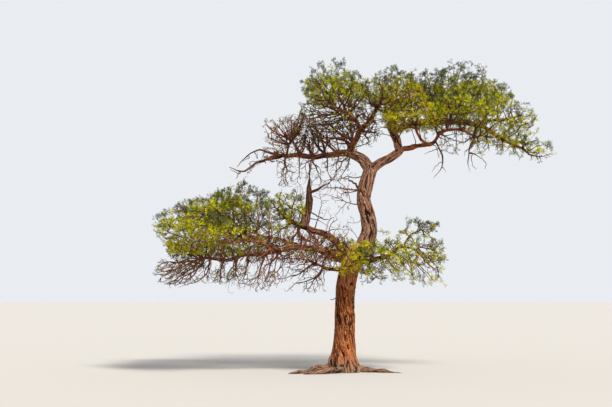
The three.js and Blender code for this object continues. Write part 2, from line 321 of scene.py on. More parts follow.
def store(mesh: Mesh, name: str, values: Array) -> None:
    """Writes one number or vector for each point of a mesh as an attribute.

    Args:
        mesh: the mesh.
        name: the attribute's name.
        values: one row for each point.
    """
    kind, key = ("FLOAT_VECTOR", "vector") if values.ndim == 2 else ("FLOAT", "value")
    made = mesh.attributes.new(name, kind, "POINT")
    made.data.foreach_set(key, np.ascontiguousarray(values, dtype=np.float32).ravel())


def vertices_of(mesh: Mesh) -> Array:
    """The points of a mesh.

    Args:
        mesh: the mesh.

    Returns:
        Rows of x, y, z.
    """
    co = np.empty(len(mesh.vertices) * 3, np.float32)
    mesh.vertices.foreach_get("co", co)
    return co.reshape(-1, 3).astype(float)


def move_vertices(mesh: Mesh, points: Array) -> None:
    """Sets the points of a mesh to rows of x, y, z."""
    mesh.vertices.foreach_set("co", points.astype(np.float32).ravel())
    mesh.update()


def evaluated(piece: Piece, work: bpy.types.Modifier) -> Piece:
    """Runs a piece's modifier and keeps the result as its plain mesh.

    Args:
        piece: the object.
        work: its one modifier, which is removed.

    Returns:
        The same object with its new mesh.
    """
    bpy.context.view_layer.update()
    graph = bpy.context.evaluated_depsgraph_get()
    made = bpy.data.meshes.new_from_object(piece.evaluated_get(graph))
    piece.modifiers.remove(work)
    piece.data = made
    made.name = piece.name
    return piece


def joined(name: str, parts: list[Piece]) -> Piece:
    """Joins objects into one.

    Args:
        name: the new name.
        parts: objects at the origin.

    Returns:
        The one object.
    """
    with bpy.context.temp_override(
        active_object=parts[0], selected_objects=parts, selected_editable_objects=parts
    ):
        bpy.ops.object.join()
    parts[0].name = name
    parts[0].data.name = name
    return parts[0]


def finished(piece: Piece, slot: Slot, nodes: list[str]) -> Piece:
    """Hands a piece to the frame: what it rides on, and the nodes that it stands for.

    Args:
        piece: the finished piece.
        slot: the record's slot for its finish; not used.
        nodes: the nodes that it replaces.

    Returns:
        The piece.
    """
    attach(piece, BODY)
    if nodes:
        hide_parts(*nodes)
    piece.data.calc_loop_triangles()
    log.info("%s: %d triangles", piece.name, len(piece.data.loop_triangles))
    return piece


# Node trees


class Graph:
    """A node tree that is added to by one method."""

    def __init__(self, tree: bpy.types.NodeTree) -> None:
        """Takes up a tree."""
        self.tree = tree

    def node(self, kind: str, inputs: dict | None = None, **settings: object) -> Node:
        """Adds a node.

        Args:
            kind: the node's type.
            inputs: what feeds its sockets, by socket name or number.
            settings: its own properties, which are set before its sockets.

        Returns:
            The node.
        """
        made = self.tree.nodes.new(kind)
        for key, value in settings.items():
            setattr(made, key, value)
        for key, value in (inputs or {}).items():
            self.feed(made.inputs[key], value)
        return made

    def feed(self, socket: Socket, value: object) -> None:
        """Links an input socket, or sets its own value.

        Args:
            socket: the input socket.
            value: a signal, an output socket or a node to link, or else a plain value.
        """
        if isinstance(value, Signal):
            value = value.socket
        elif isinstance(value, Node):
            value = value.outputs[0]
        if isinstance(value, Socket):
            self.tree.links.new(value, socket)
        else:
            socket.default_value = value


class Signal:
    """A shader socket that Python's operators can work on."""

    def __init__(self, graph: Graph, socket: Socket) -> None:
        """Wraps a socket of a material's graph."""
        self.graph = graph
        self.socket = socket

    def _math(self, operation: str, *values: "Signal | float") -> "Signal":
        """A Math node on this and other values."""
        made = self.graph.node("ShaderNodeMath", dict(enumerate(values)), operation=operation)
        return Signal(self.graph, made.outputs[0])

    def __add__(self, other: "Signal | float") -> "Signal":
        """self + other."""
        return self._math("ADD", self, other)

    def __radd__(self, other: float) -> "Signal":
        """other + self."""
        return self._math("ADD", other, self)

    def __sub__(self, other: "Signal | float") -> "Signal":
        """self - other."""
        return self._math("SUBTRACT", self, other)

    def __rsub__(self, other: float) -> "Signal":
        """other - self."""
        return self._math("SUBTRACT", other, self)

    def __mul__(self, other: "Signal | float") -> "Signal":
        """self * other."""
        return self._math("MULTIPLY", self, other)

    def __rmul__(self, other: float) -> "Signal":
        """other * self."""
        return self._math("MULTIPLY", other, self)

    def step(self, ramp: Ramp) -> "Signal":
        """A smooth step.

        Args:
            ramp: where it starts and ends.

        Returns:
            The step as a signal from 0 to 1.
        """
        limits = {"Value": self, "From Min": ramp.low, "From Max": ramp.high}
        made = self.graph.node("ShaderNodeMapRange", limits, interpolation_type="SMOOTHSTEP")
        return Signal(self.graph, made.outputs["Result"])


def opaque(value: Signal | Colour) -> Signal | tuple[float, ...]:
    """A plain colour with its alpha; a signal stays as it is."""
    return value if isinstance(value, Signal) else (*value, 1)


class Finish(Graph):
    """A material's graph, with a Principled shader ready to be fed."""

    def __init__(self, name: str, roughness: float, specular: float) -> None:
        """Starts a material.

        Args:
            name: the material's name.
            roughness: the shader's roughness, where nothing else feeds it.
            specular: its specular level.
        """
        self.material = bpy.data.materials.new(name)
        self.material.use_nodes = True
        super().__init__(self.material.node_tree)
        self.shader = self.tree.nodes["Principled BSDF"]
        self.shader.inputs["Roughness"].default_value = roughness
        self.shader.inputs["Specular IOR Level"].default_value = specular

    def object_place(self) -> Signal:
        """The place on the object in metres."""
        return Signal(self, self.node("ShaderNodeTexCoord").outputs["Object"])

    def height(self) -> Signal:
        """The height on the object in metres."""
        parts = self.node("ShaderNodeSeparateXYZ", {"Vector": self.object_place()})
        return Signal(self, parts.outputs["Z"])

    def attribute(self, name: str) -> Signal:
        """A number stored on the piece."""
        return Signal(self, self.node("ShaderNodeAttribute", attribute_name=name).outputs["Fac"])

    def bark_noise(self, along: float, scale: float, detail: float, rough: float) -> Signal:
        """Noise that is drawn out along the limb.

        Args:
            along: how much tighter it runs along the limb than across.
            scale: how many grains to a ridge's width.
            detail: finer layers.
            rough: how strong they are.

        Returns:
            The noise.
        """
        read = self.node("ShaderNodeAttribute", attribute_name="bark_at")
        drawn = self.node("ShaderNodeMapping", {"Vector": read.outputs["Vector"], "Scale": (1, 1, along)})
        return self.noise(Signal(self, drawn.outputs["Vector"]), scale, detail, rough)

    def noise(self, place: Signal, scale: float, detail: float = 2.0, rough: float = 0.5) -> Signal:
        """Smooth noise from about 0.2 to 0.8, with so many grains to a unit, and finer layers."""
        inputs = {"Vector": place, "Scale": scale, "Detail": detail, "Roughness": rough}
        return Signal(self, self.node("ShaderNodeTexNoise", inputs).outputs[0])

    def mix(self, factor: Signal | float, first: Signal | Colour, second: Signal | Colour) -> Signal:
        """A colour between two others.

        Args:
            factor: 0 for the first and 1 for the second.
            first: a colour or a signal.
            second: a colour or a signal.

        Returns:
            The mixed colour.
        """
        colours = {6: opaque(first), 7: opaque(second)}
        made = self.node("ShaderNodeMix", {0: factor, **colours}, data_type="RGBA")
        return Signal(self, made.outputs[2])

    def colour(self, value: Signal | Colour) -> None:
        """Feeds the shader's base colour."""
        self.feed(self.shader.inputs["Base Color"], opaque(value))

    def roughness(self, value: Signal) -> None:
        """Feeds the shader's roughness."""
        self.feed(self.shader.inputs["Roughness"], value)

    def bump(self, height: Signal, distance: float) -> None:
        """Raises the surface where height is large, by up to a distance in metres."""
        made = self.node("ShaderNodeBump", {"Height": height, "Distance": distance, "Strength": 1.0})
        self.feed(self.shader.inputs["Normal"], made.outputs["Normal"])


# Finishes


@dataclass(frozen=True)
class BarkFinish:
    """Bark in long plates with dark fissures between them, deepened by painted shade, over coordinates that
    follow the limb.
    """

    name: str
    fissure_and_shade: Colour
    plate: Colour
    edge: Colour
    plate_aloft: Colour
    edge_aloft: Colour
    dust_and_highlight: Colour
    dust_and_highlight_aloft: Colour
    slim: Colour
    slim_and_shaded_edge: Colour
    weathered: Colour
    weathered_and_shaded_edge: Colour
    grain_depth: float = 0.006
    aloft: Ramp = Ramp(1.7, 3.3)
    edges: Ramp = Ramp(0.42, 0.58)
    dusty_and_highlit: Ramp = Ramp(0.5, 0.63)
    dust_and_highlight_cover: float = 0.85
    shade: Ramp = Ramp(0.33, 0.72)
    ridge_height: float = 0.7
    streak_height: float = 1.1
    sunk: float = 0.42
    grain_bump: float = 0.7
    fine_bump: float = 0.5

    def material(self) -> Material:
        """The bark: orange-brown low down, paler aloft, dark on slender limbs, grey on roots; low boughs
        under the crown take the dark and the grey as painted shade, fissures take painted shade where the
        relief sinks, and pale patches are partly painted highlight.

        Returns:
            The material.
        """
        finish = Finish(self.name, roughness=0.92, specular=0.15)
        streak = finish.bark_noise(along=0.08, scale=1.7, detail=2, rough=0.55)
        grain = finish.bark_noise(along=0.16, scale=4.2, detail=3, rough=0.6)
        fine = finish.bark_noise(along=0.4, scale=9.0, detail=3, rough=0.65)
        light = streak.step(self.edges)
        # Pale patches, partly dust and partly painted highlight.
        dusty_and_highlit = grain.step(self.dusty_and_highlit) * self.dust_and_highlight_cover
        low = finish.mix(dusty_and_highlit, finish.mix(light, self.plate, self.edge), self.dust_and_highlight)
        high = finish.mix(dusty_and_highlit, finish.mix(light, self.plate_aloft, self.edge_aloft), self.dust_and_highlight_aloft)
        body = finish.mix(finish.height().step(self.aloft), low, high)
        # Dark bark of slender limbs, which also paints the crown's shade on the low boughs.
        slim_and_shaded_bark = finish.mix(light, self.slim, self.slim_and_shaded_edge)
        body = finish.mix(finish.attribute("slim"), body, slim_and_shaded_bark)
        # Grey bark of the roots' weathering, also laid on the low boughs under the crown as painted shade.
        grey = finish.mix(light, self.weathered, self.weathered_and_shaded_edge)
        body = finish.mix(finish.attribute("worn"), body, grey)
        # Painted shade: the dark fissure colour, partly the bark's own, is laid where the relief sinks
        # between ridges and in hollows.
        ridge = finish.attribute("ridge")
        raised = ridge * self.ridge_height + streak * self.streak_height - self.sunk
        finish.colour(finish.mix(raised.step(self.shade), self.fissure_and_shade, body))
        finish.bump(grain * self.grain_bump + fine * self.fine_bump, self.grain_depth)
        return finish.material


@dataclass(frozen=True)
class TwigFinish:
    """Thin bark of branches and twigs, darker and lighter by turns."""

    name: str
    dark: Colour
    light: Colour
    scale: float = 14.0
    patches: Ramp = Ramp(0.35, 0.65)
    finer: float = 8.0
    depth: float = 0.002

    def material(self) -> Material:
        """The twigs' bark.

        Returns:
            The material.
        """
        finish = Finish(self.name, roughness=0.85, specular=0.25)
        place = finish.object_place()
        patches = finish.noise(place, self.scale, detail=3, rough=0.6).step(self.patches)
        finish.colour(finish.mix(patches, self.dark, self.light))
        finish.bump(finish.noise(place, self.scale * self.finer, detail=2), self.depth)
        return finish.material


@dataclass(frozen=True)
class PlainFinish:
    """One plain tint, rougher in some places than in others where it has a sheen."""

    name: str
    tint: Colour
    rough: float = 0.7
    least_rough: float = 0.55
    sheen: float = 0.35
    grain: float = 9.0

    def material(self) -> Material:
        """The plain tint.

        Returns:
            The material.
        """
        finish = Finish(self.name, self.rough, specular=0.1)
        finish.colour(self.tint)
        if self.sheen:
            sheen = finish.noise(finish.object_place(), self.grain, detail=1)
            finish.roughness(self.least_rough + sheen * self.sheen)
        return finish.material


LIVE_BARK = BarkFinish(
    "live_bark",
    fissure_and_shade=(0.022, 0.007, 0.003),
    plate=(0.088, 0.019, 0.004),
    edge=(0.245, 0.06, 0.011),
    plate_aloft=(0.105, 0.033, 0.016),
    edge_aloft=(0.37, 0.18, 0.11),
    dust_and_highlight=(0.43, 0.2, 0.09),
    dust_and_highlight_aloft=(0.68, 0.42, 0.29),
    slim=(0.12, 0.03, 0.009),
    slim_and_shaded_edge=(0.31, 0.09, 0.028),
    weathered=(0.072, 0.033, 0.019),
    weathered_and_shaded_edge=(0.22, 0.128, 0.082),
)
DEAD_BARK = BarkFinish(
    "dead_wood",
    fissure_and_shade=(0.02, 0.009, 0.006),
    plate=(0.09, 0.038, 0.022),
    edge=(0.18, 0.088, 0.055),
    plate_aloft=(0.09, 0.036, 0.02),
    edge_aloft=(0.18, 0.086, 0.053),
    dust_and_highlight=(0.27, 0.16, 0.115),
    dust_and_highlight_aloft=(0.27, 0.16, 0.115),
    slim=(0.07, 0.027, 0.016),
    slim_and_shaded_edge=(0.17, 0.08, 0.048),
    weathered=(0.07, 0.027, 0.016),
    weathered_and_shaded_edge=(0.17, 0.08, 0.048),
    grain_depth=0.003,
)
BRANCH_BARK = TwigFinish("branch_bark", dark=(0.03, 0.011, 0.007), light=(0.13, 0.048, 0.026))
# A darker copy of the twigs' bark for the upper crown: painted shade of the crown's inside.
SHADED_TWIG_BARK = TwigFinish("inner_twig_bark", dark=(0.022, 0.007, 0.003), light=(0.11, 0.037, 0.018), scale=3.0)
TWIG_BARK = TwigFinish("twig_bark", dark=(0.032, 0.01, 0.005), light=(0.23, 0.082, 0.04), scale=3.0)
# Lime, yellow-green, olive, deep green and dark are one leaf under more or less light: painted light and
# shade. Grey-green and rust are tints of their own.
LEAF_COLOURS = {
    Tint.LIME: (0.265, 0.3, 0.002),
    Tint.YELLOW_GREEN: (0.41, 0.395, 0.002),
    Tint.OLIVE: (0.155, 0.145, 0.002),
    Tint.DEEP_GREEN: (0.036, 0.048, 0.003),
    Tint.GREY_GREEN: (0.075, 0.098, 0.022),
    Tint.RUST: (0.16, 0.055, 0.014),
    Tint.DARK: (0.018, 0.02, 0.003),
    Tint.GOLD: (0.5, 0.33, 0.003),
}


# Geometry Nodes


class Recipe(Graph):
    """A Geometry Nodes tree with named inputs, applied to one object at a time."""

    def __init__(self, name: str, inputs: dict[str, str]) -> None:
        """Starts the tree.

        Args:
            name: the tree's name.
            inputs: socket type by input name.
        """
        super().__init__(bpy.data.node_groups.new(name, "GeometryNodeTree"))
        face = self.tree.interface
        face.new_socket("Geometry", in_out="INPUT", socket_type="NodeSocketGeometry")
        self.ids: dict[str, str] = {}
        for key, kind in inputs.items():
            self.ids[key] = face.new_socket(key, in_out="INPUT", socket_type=kind).identifier
        face.new_socket("Geometry", in_out="OUTPUT", socket_type="NodeSocketGeometry")
        self.given = self.node("NodeGroupInput").outputs
        self.result = self.node("NodeGroupOutput").inputs[0]

    def named(self, name: str, kind: str = "FLOAT") -> Socket:
        """A stored attribute of the given geometry."""
        read = self.node("GeometryNodeInputNamedAttribute", {"Name": name}, data_type=kind)
        return read.outputs["Attribute"]

    def apply(self, piece: Piece, values: dict[str, object]) -> Piece:
        """Runs the tree on an object and keeps the result as its plain mesh.

        Args:
            piece: the object.
            values: the inputs' values by name.

        Returns:
            The same object with its new mesh.
        """
        work = piece.modifiers.new("recipe", "NODES")
        work.node_group = self.tree
        for key, value in values.items():
            work[self.ids[key]] = value
        return evaluated(piece, work)


class TwigTubes(Recipe):
    """Turns chains of edges into closed tubes as thick as the number stored at each point."""

    def __init__(self) -> None:
        """Builds the tree."""
        super().__init__("twig_tubes", {"Sides": "NodeSocketInt", "Bark": "NodeSocketMaterial"})
        size = {"Resolution": self.given["Sides"], "Radius": 1.0}
        course = {
            "Curve": self.node("GeometryNodeMeshToCurve", {"Mesh": self.given[0]}),
            "Profile Curve": self.node("GeometryNodeCurvePrimitiveCircle", size, mode="RADIUS"),
            "Scale": self.named("thick"),
            "Fill Caps": True,
        }
        real = self.node("GeometryNodeRealizeInstances", {0: self.node("GeometryNodeCurveToMesh", course)})
        dressed = {"Geometry": real, "Material": self.given["Bark"]}
        self.feed(self.result, self.node("GeometryNodeSetMaterial", dressed))


class SprayScatter(Recipe):
    """Sets a spray on each point, turned along its aim, and gives each its tint."""

    def __init__(self, kinds: int) -> None:
        """Builds the tree.

        Args:
            kinds: how many kinds of spray there are.
        """
        tints = {tint.name: "NodeSocketMaterial" for tint in Tint}
        super().__init__(
            "spray_scatter", {"Sprays": "NodeSocketCollection", "Seed": "NodeSocketInt", **tints}
        )
        kit = {"Collection": self.given["Sprays"], "Separate Children": True, "Reset Children": True}
        placing = {
            "Points": self.given[0],
            "Instance": self.node("GeometryNodeCollectionInfo", kit),
            "Pick Instance": True,
            "Instance Index": self._random("INT", {4: 0, 5: kinds - 1}, 1).outputs[2],
            "Rotation": self._turned(),
            "Scale": self.named("size"),
        }
        placed = self.node("GeometryNodeInstanceOnPoints", placing)
        dressed = self.node("GeometryNodeRealizeInstances", {0: placed})
        for tint in Tint:
            pair = {2: self.named("tint", "INT"), 3: int(tint)}
            own = self.node("FunctionNodeCompare", pair, data_type="INT", operation="EQUAL")
            dressing = {"Geometry": dressed, "Selection": own, "Material": self.given[tint.name]}
            dressed = self.node("GeometryNodeSetMaterial", dressing)
        self.feed(self.result, dressed)

    def _turned(self) -> Node:
        """Turns each spray along its aim, and by a random angle round it.

        Returns:
            The node with the rotation.
        """
        along = {"Vector": self.named("aim", "FLOAT_VECTOR")}
        aim = self.node("FunctionNodeAlignRotationToVector", along, axis="Z")
        roll = self._random("FLOAT_VECTOR", {0: (0, 0, 0), 1: (0, 0, 2 * math.pi)}, 0)
        turn = self.node("FunctionNodeEulerToRotation", {0: roll})
        both = {"Rotation": aim, "Rotate By": turn}
        return self.node("FunctionNodeRotateRotation", both, rotation_space="LOCAL")

    def _random(self, kind: str, limits: dict[int, object], shift: int) -> Node:
        """A steady random value for each point, within limits by socket number."""
        seed = self.node("ShaderNodeMath", {0: self.given["Seed"], 1: shift}, operation="ADD")
        return self.node("FunctionNodeRandomValue", {**limits, "Seed": seed}, data_type=kind)


# The limbs

# Points on the axes of the surface roots, outwards from the trunk, each with its radius, in metres.
ROOT_COURSES: dict[str, tuple[tuple[float, float, float, float], ...]] = {
    "root_left": (
        (-0.18, -0.04, 0.06, 0.12), (-0.43, -0.1, 0.065, 0.095), (-0.62, -0.24, 0.07, 0.095),
        (-0.8, -0.42, 0.015, 0.06), (-1.0, -0.55, 0.02, 0.055), (-1.22, -0.62, -0.004, 0.026),
    ),
    "root_front_left": (
        (-0.06, -0.18, 0.1, 0.1), (-0.13, -0.42, 0.085, 0.068), (-0.38, -0.57, 0.06, 0.06),
        (-0.64, -0.68, 0.025, 0.05), (-0.9, -0.72, 0.0, 0.03),
    ),
    "root_right": (
        (0.19, -0.06, 0.07, 0.12), (0.43, -0.14, 0.045, 0.085), (0.7, -0.21, 0.02, 0.055),
        (0.87, -0.27, 0.03, 0.055), (1.02, -0.32, 0.006, 0.028), (1.26, -0.39, -0.004, 0.013),
    ),
}


@dataclass
class Limb:
    """One limb as an axis with a thickness, from where it leaves its parent to its tip."""

    name: str
    path: Array
    radii: Array
    dead: bool = False
    crook: float = 0.0
    kink_share: float = 0.4
    bends_per_metre: float = 2.7
    kinks_per_metre: float = 6.5

    def stations(self, spacing: float = AXIS_SPACING) -> tuple[Array, Array]:
        """Even points along the limb, which is a little crooked.

        Args:
            spacing: distance between the points.

        Returns:
            The points and their radii.
        """
        points, radii = spline(self.path, self.radii, spacing)
        if not self.crook:
            return points, radii
        bends = self.crook * sway(NoiseSeed.LIMB_BEND, points * self.bends_per_metre)
        kinks = self.kink_share * self.crook * sway(NoiseSeed.LIMB_KINK, points * self.kinks_per_metre)
        return points + bends + kinks, radii


@dataclass
class Skeleton:
    """Reads each limb's axis back from the rings of points in its node."""

    collar: float = 1.18
    crook: float = 0.042
    evenness: float = 0.04
    fewest_spokes: int = 5
    parent_share: float = 0.8
    deepest_root: float = 0.8
    widest_root: float = 0.95
    limbs: dict[str, Limb] = field(default_factory=dict)

    def read(self, nodes: dict[str, Piece], dead: set[str]) -> "Skeleton":
        """Fills the skeleton.

        Args:
            nodes: the wooden nodes by name.
            dead: the names of the dead ones.

        Returns:
            The skeleton itself.
        """
        feet: dict[str, Array] = {}
        for name, node in nodes.items():
            if name in ROOT_COURSES:
                course = np.array(ROOT_COURSES[name])
                self.limbs[name] = Limb(name, course[:, :3], course[:, 3])
                continue
            path, radii, feet[name] = self._rings(node.data)
            crook = 0.0 if name == TRUNK else self.crook
            self.limbs[name] = Limb(name, path, radii, name in dead, crook)
        for name, foot in feet.items():
            if name != TRUNK:
                self._root_in_parent(self.limbs[name], foot)
        return self

    def swell(self, name: str, foot: float, tip: float) -> None:
        """Makes a limb so many times thicker at its foot, and at its tip."""
        limb = self.limbs[name]
        limb.radii = limb.radii * (tip + (foot - tip) * np.linspace(1, 0, len(limb.radii)) ** 2)

    @staticmethod
    def _web(mesh: Mesh) -> tuple[Array, list[set[int]]]:
        """Merges the points of a mesh of loose triangles.

        Args:
            mesh: the mesh.

        Returns:
            The merged points, and for each the numbers of its neighbours.
        """
        rounded = np.round(vertices_of(mesh), decimals=5)
        points, number = np.unique(rounded, axis=0, return_inverse=True)
        corners = np.array([number.ravel()[list(face.vertices)] for face in mesh.polygons])
        near: list[set[int]] = [set() for _ in points]
        for a, b, c in corners:
            near[a] |= {b, c}
            near[b] |= {a, c}
            near[c] |= {a, b}
        return points, near

    def _tip(self, points: Array, near: list[set[int]]) -> tuple[int, set[int], float]:
        """Finds the small even fan of triangles that ends a tube.

        Args:
            points: the tube's points.
            near: the neighbours of each.

        Returns:
            The number of the fan's middle, those of its rim, and its radius.
        """
        tip, ring, best = 0, set(), FAR
        for i, around in enumerate(near):
            if len(around) < self.fewest_spokes:
                continue
            rim = points[list(around)]
            reach = np.linalg.norm(rim - points[i], axis=1)
            slack = self.evenness * reach.mean()
            even = reach.std() < slack
            middle = np.linalg.norm(rim.mean(axis=0) - points[i]) < slack
            if even and middle and reach.mean() < best:
                tip, ring, best = i, around, reach.mean()
        return tip, ring, best

    def _rings(self, mesh: Mesh) -> tuple[Array, Array, Array]:
        """The rings of a tube that ends in a fan of triangles round its tip.

        Args:
            mesh: a mesh of loose triangles.

        Returns:
            Ring centres from the foot to the tip, their radii, and the middle of what is left.
        """
        points, near = self._web(mesh)
        tip, ring, best = self._tip(points, near)
        if not ring:
            raise ValueError(f"{mesh.name}: no tip found")
        seen = {tip} | ring
        centres, radii = [points[tip]], [best]
        level = ring
        while True:
            following = set().union(*(near[i] for i in level)) - seen
            if len(following) != len(ring):
                break
            rim = points[list(following)]
            centres.append(rim.mean(axis=0))
            radii.append(np.linalg.norm(rim - centres[-1], axis=1).mean())
            seen |= following
            level = following
        rest = points[[i for i in range(len(points)) if i not in seen]]
        foot = rest.mean(axis=0) if len(rest) else centres[-1]
        return np.array(centres[::-1]), np.array(radii[::-1]), foot

    def _root_in_parent(self, limb: Limb, foot: Array) -> None:
        """Carries a limb's axis on into the limb that it grows from.

        Args:
            limb: the limb.
            foot: the middle of its foot.
        """
        best, anchor, thick = FAR, foot, limb.radii[0]
        for other in self.limbs.values():
            if other is limb:
                continue
            points, radii = other.stations()
            gap = np.linalg.norm(points - foot, axis=1) - radii
            k = int(np.argmin(gap))
            if gap[k] < best and radii[k] > self.parent_share * limb.radii[0]:
                best, anchor, thick = gap[k], points[k], radii[k]
        depth = min(np.linalg.norm(anchor - foot), self.deepest_root * thick)
        inner = foot + unit(anchor - foot) * depth
        swollen = min(limb.radii[0] * self.collar, self.widest_root * thick)
        limb.path = np.vstack([inner, limb.path])
        limb.radii = np.concatenate([[swollen], limb.radii])


# The bark


@dataclass(frozen=True)
class Grain:
    """A layer of noise on the bark, in the bark's own measure."""

    seed: NoiseSeed
    across: float
    along: float
    shift: float = 0.0

    def at(self, where: Array) -> Array:
        """The layer's noise at rows of places."""
        return LatticeNoise(self.seed).at(where * (self.across, self.across, self.along) + self.shift)


BEND = Grain(NoiseSeed.BARK_BEND, 0.5, 0.22)
RIDGES = Grain(NoiseSeed.BARK_RIDGE, 1.05, 0.12)
SECOND_RIDGES = Grain(NoiseSeed.BARK_SECOND_RIDGE, 2.3, 0.3, 3.0)
# Cracks across the ridges, each with how wide it opens.
CRACKS = (
    (Grain(NoiseSeed.BARK_CROSS_CRACK, 0.9, 0.3, 9.0), Ramp(0.0, 0.2)),
    (Grain(NoiseSeed.BARK_SMALL_CRACK, 1.9, 0.3, 5.0), Ramp(0.0, 0.25)),
)


@dataclass(frozen=True)
class Knot:
    """A swelling or a hollow on the bark."""

    place: Triple
    size: float
    height: float
    # How much painted shade darkens it, where it is a hollow.
    dark: float = 0.0


@dataclass
class BarkSkin:
    """One closed skin round some limbs, grown together at their forks, with its bark in relief."""

    name: str
    limbs: list[Limb]
    finish: BarkFinish
    slot: Slot
    knots: tuple[Knot, ...] = ()
    # The closed skin.
    voxel: float = 0.0128
    ring_spacing: float = 0.04
    ring_sides: int = 14
    near_ground: float = 0.02
    sunk: float = 0.06
    margin: float = 0.12
    margin_share: float = 1.5
    apart: float = 37.0
    most_pairs: int = 4_000_000
    smooth_rounds: int = 14
    smoothing: float = 0.05
    fork_smoothing: float = 0.6
    in_fork: Ramp = Ramp(0.15, 0.9)
    # The bark's ridges, whose width grows with the limb's thickness.
    ridge: float = 0.058
    ridge_at: float = 0.2
    depth: float = 0.42
    spiral: float = 0.05
    bending: float = 0.9
    second_ridges: float = 0.5
    crack_depth: float = 0.25
    fissures: Ramp = Ramp(0.0, 0.22)
    full_relief: Ramp = Ramp(0.012, 0.035)
    clear_of_fork: Ramp = Ramp(0.02, 0.4)
    fork_crest: float = 0.7
    fork_relief: float = 0.45
    middle_crest: float = 0.62
    lump: float = 0.05
    lump_size: float = 0.31
    knot_fall: float = 2.2
    knot_shade: float = 1.5
    # The foot, drawn out towards the roots.
    buttress: float = 0.09
    buttress_width: float = 0.5
    buttress_fade: float = 0.42
    drawn_in: float = 0.38
    past_foot: Ramp = Ramp(0.42, 0.6)
    # Where the bark's colours change.
    stout: Ramp = Ramp(0.045, 0.115)
    on_root: Ramp = Ramp(0.24, 0.42)
    above_root: Ramp = Ramp(0.42, 0.84)
    # Painted shade of the crown on the low boughs: off the trunk and below this height they count as
    # slimmer, so darker, and turn partly grey.
    off_trunk: Ramp = Ramp(0.25, 0.5)
    above_shade: Ramp = Ramp(3.0, 3.6)
    shaded_slimmer: float = 0.05
    shaded_grey: float = 0.6

    def build(self) -> Piece:
        """Makes the skin.

        Returns:
            The finished piece.
        """
        piece = self._joined()
        mesh = piece.data
        points = vertices_of(mesh)
        where, gap, radius = self._along_limbs(points)
        points = self._smoothed(mesh, points, gap)
        move, crest = self._relief(points, where, gap, radius)
        move_vertices(mesh, points)
        normals = np.empty(len(points) * 3, np.float32)
        mesh.vertex_normals.foreach_get("vector", normals)
        points = points + normals.reshape(-1, 3) * move[:, None]
        move_vertices(mesh, points)
        store(mesh, "bark_at", where)
        store(mesh, "ridge", crest)
        self._mark_colours(mesh, points, radius)
        self._cut_at_ground(mesh)
        mesh.shade_smooth()
        mesh.materials.clear()
        mesh.materials.append(self.finish.material())
        return finished(piece, self.slot, [limb.name for limb in self.limbs])

    def _mark_colours(self, mesh: Mesh, points: Array, radius: Array) -> None:
        """Marks where the bark is dark as on slender limbs, and where it is grey as on the roots; low boughs
        under the crown get both, as painted shade of the crown.

        Args:
            mesh: the skin.
            points: its points.
            radius: the limb's radius at each.
        """
        out = np.hypot(points[:, 0], points[:, 1])
        # Painted shade: low boughs under the crown, off the trunk and low down.
        shaded = self.off_trunk.at(out) * (1 - self.above_shade.at(points[:, 2]))
        store(mesh, "slim", 1 - self.stout.at(radius - self.shaded_slimmer * shaded))
        worn = (1 - self.above_root.at(points[:, 2])) * self.on_root.at(out)
        store(mesh, "worn", np.maximum(worn, self.shaded_grey * shaded))

    def _joined(self) -> Piece:
        """Grows all the limbs together into one closed skin of even small faces.

        Returns:
            The skin, without relief.
        """
        points, faces = [], []
        for limb in self.limbs:
            path, radii = limb.stations(self.ring_spacing)
            if path[0][2] < self.near_ground:
                path = np.vstack([path[0] - (0, 0, self.sunk), path])
                radii = np.append(radii[0], radii)
            base = sum(map(len, points))
            rim, quads = tube(path, radii, self.ring_sides)
            faces.extend([[i + base for i in quad] for quad in quads])
            points.append(rim)
        piece = mesh_piece(self.name, np.vstack(points), faces)
        work = piece.modifiers.new("skin", "REMESH")
        work.mode = "VOXEL"
        work.voxel_size = self.voxel
        return evaluated(piece, work)

    def _ridge_width(self, radius: Array) -> Array:
        """How wide the bark's ridges are on a limb of some radius."""
        return self.ridge * np.sqrt(radius / self.ridge_at)

    def _along_limbs(self, points: Array) -> tuple[Array, Array, Array]:
        """Finds for each point of the skin its place on the nearest limb.

        Args:
            points: the skin's points.

        Returns:
            A place in the bark's own measure, how clear of any fork it is, and the limb's radius.
        """
        count = len(points)
        best, second = np.full(count, FAR), np.full(count, FAR)
        where, radius = np.zeros((count, 3)), np.ones(count)
        for number, limb in enumerate(self.limbs):
            path, radii = limb.stations()
            tangent, side, across = frames_along(path)
            wide = self._ridge_width(radii)
            along = np.append(0, np.cumsum(AXIS_SPACING / wide[1:])) + self.apart * number
            margin = self.margin + self.margin_share * radii.max()
            low, high = path.min(axis=0) - margin, path.max(axis=0) + margin
            chosen = np.flatnonzero(np.all((points > low) & (points < high), axis=1))
            for part in np.array_split(chosen, max(1, len(chosen) * len(path) // self.most_pairs)):
                if not len(part):
                    continue
                away = np.linalg.norm(points[part][:, None] - path[None], axis=2)
                k = np.argmin(away / radii, axis=1)
                ratio = away[np.arange(len(part)), k] / radii[k]
                nearer = ratio < best[part]
                second[part] = np.where(nearer, best[part], np.minimum(second[part], ratio))
                best[part] = np.where(nearer, ratio, best[part])
                off = points[part] - path[k]
                shift = np.einsum("ij,ij->i", off, tangent[k])
                x = np.einsum("ij,ij->i", off, side[k]) / wide[k]
                y = np.einsum("ij,ij->i", off, across[k]) / wide[k]
                s = along[k] + shift / wide[k]
                sin, cos = np.sin(self.spiral * s), np.cos(self.spiral * s)
                placed = np.stack([x * cos - y * sin, x * sin + y * cos, s], axis=1)
                where[part[nearer]] = placed[nearer]
                radius[part[nearer]] = radii[k][nearer]
        return where, second - best, radius

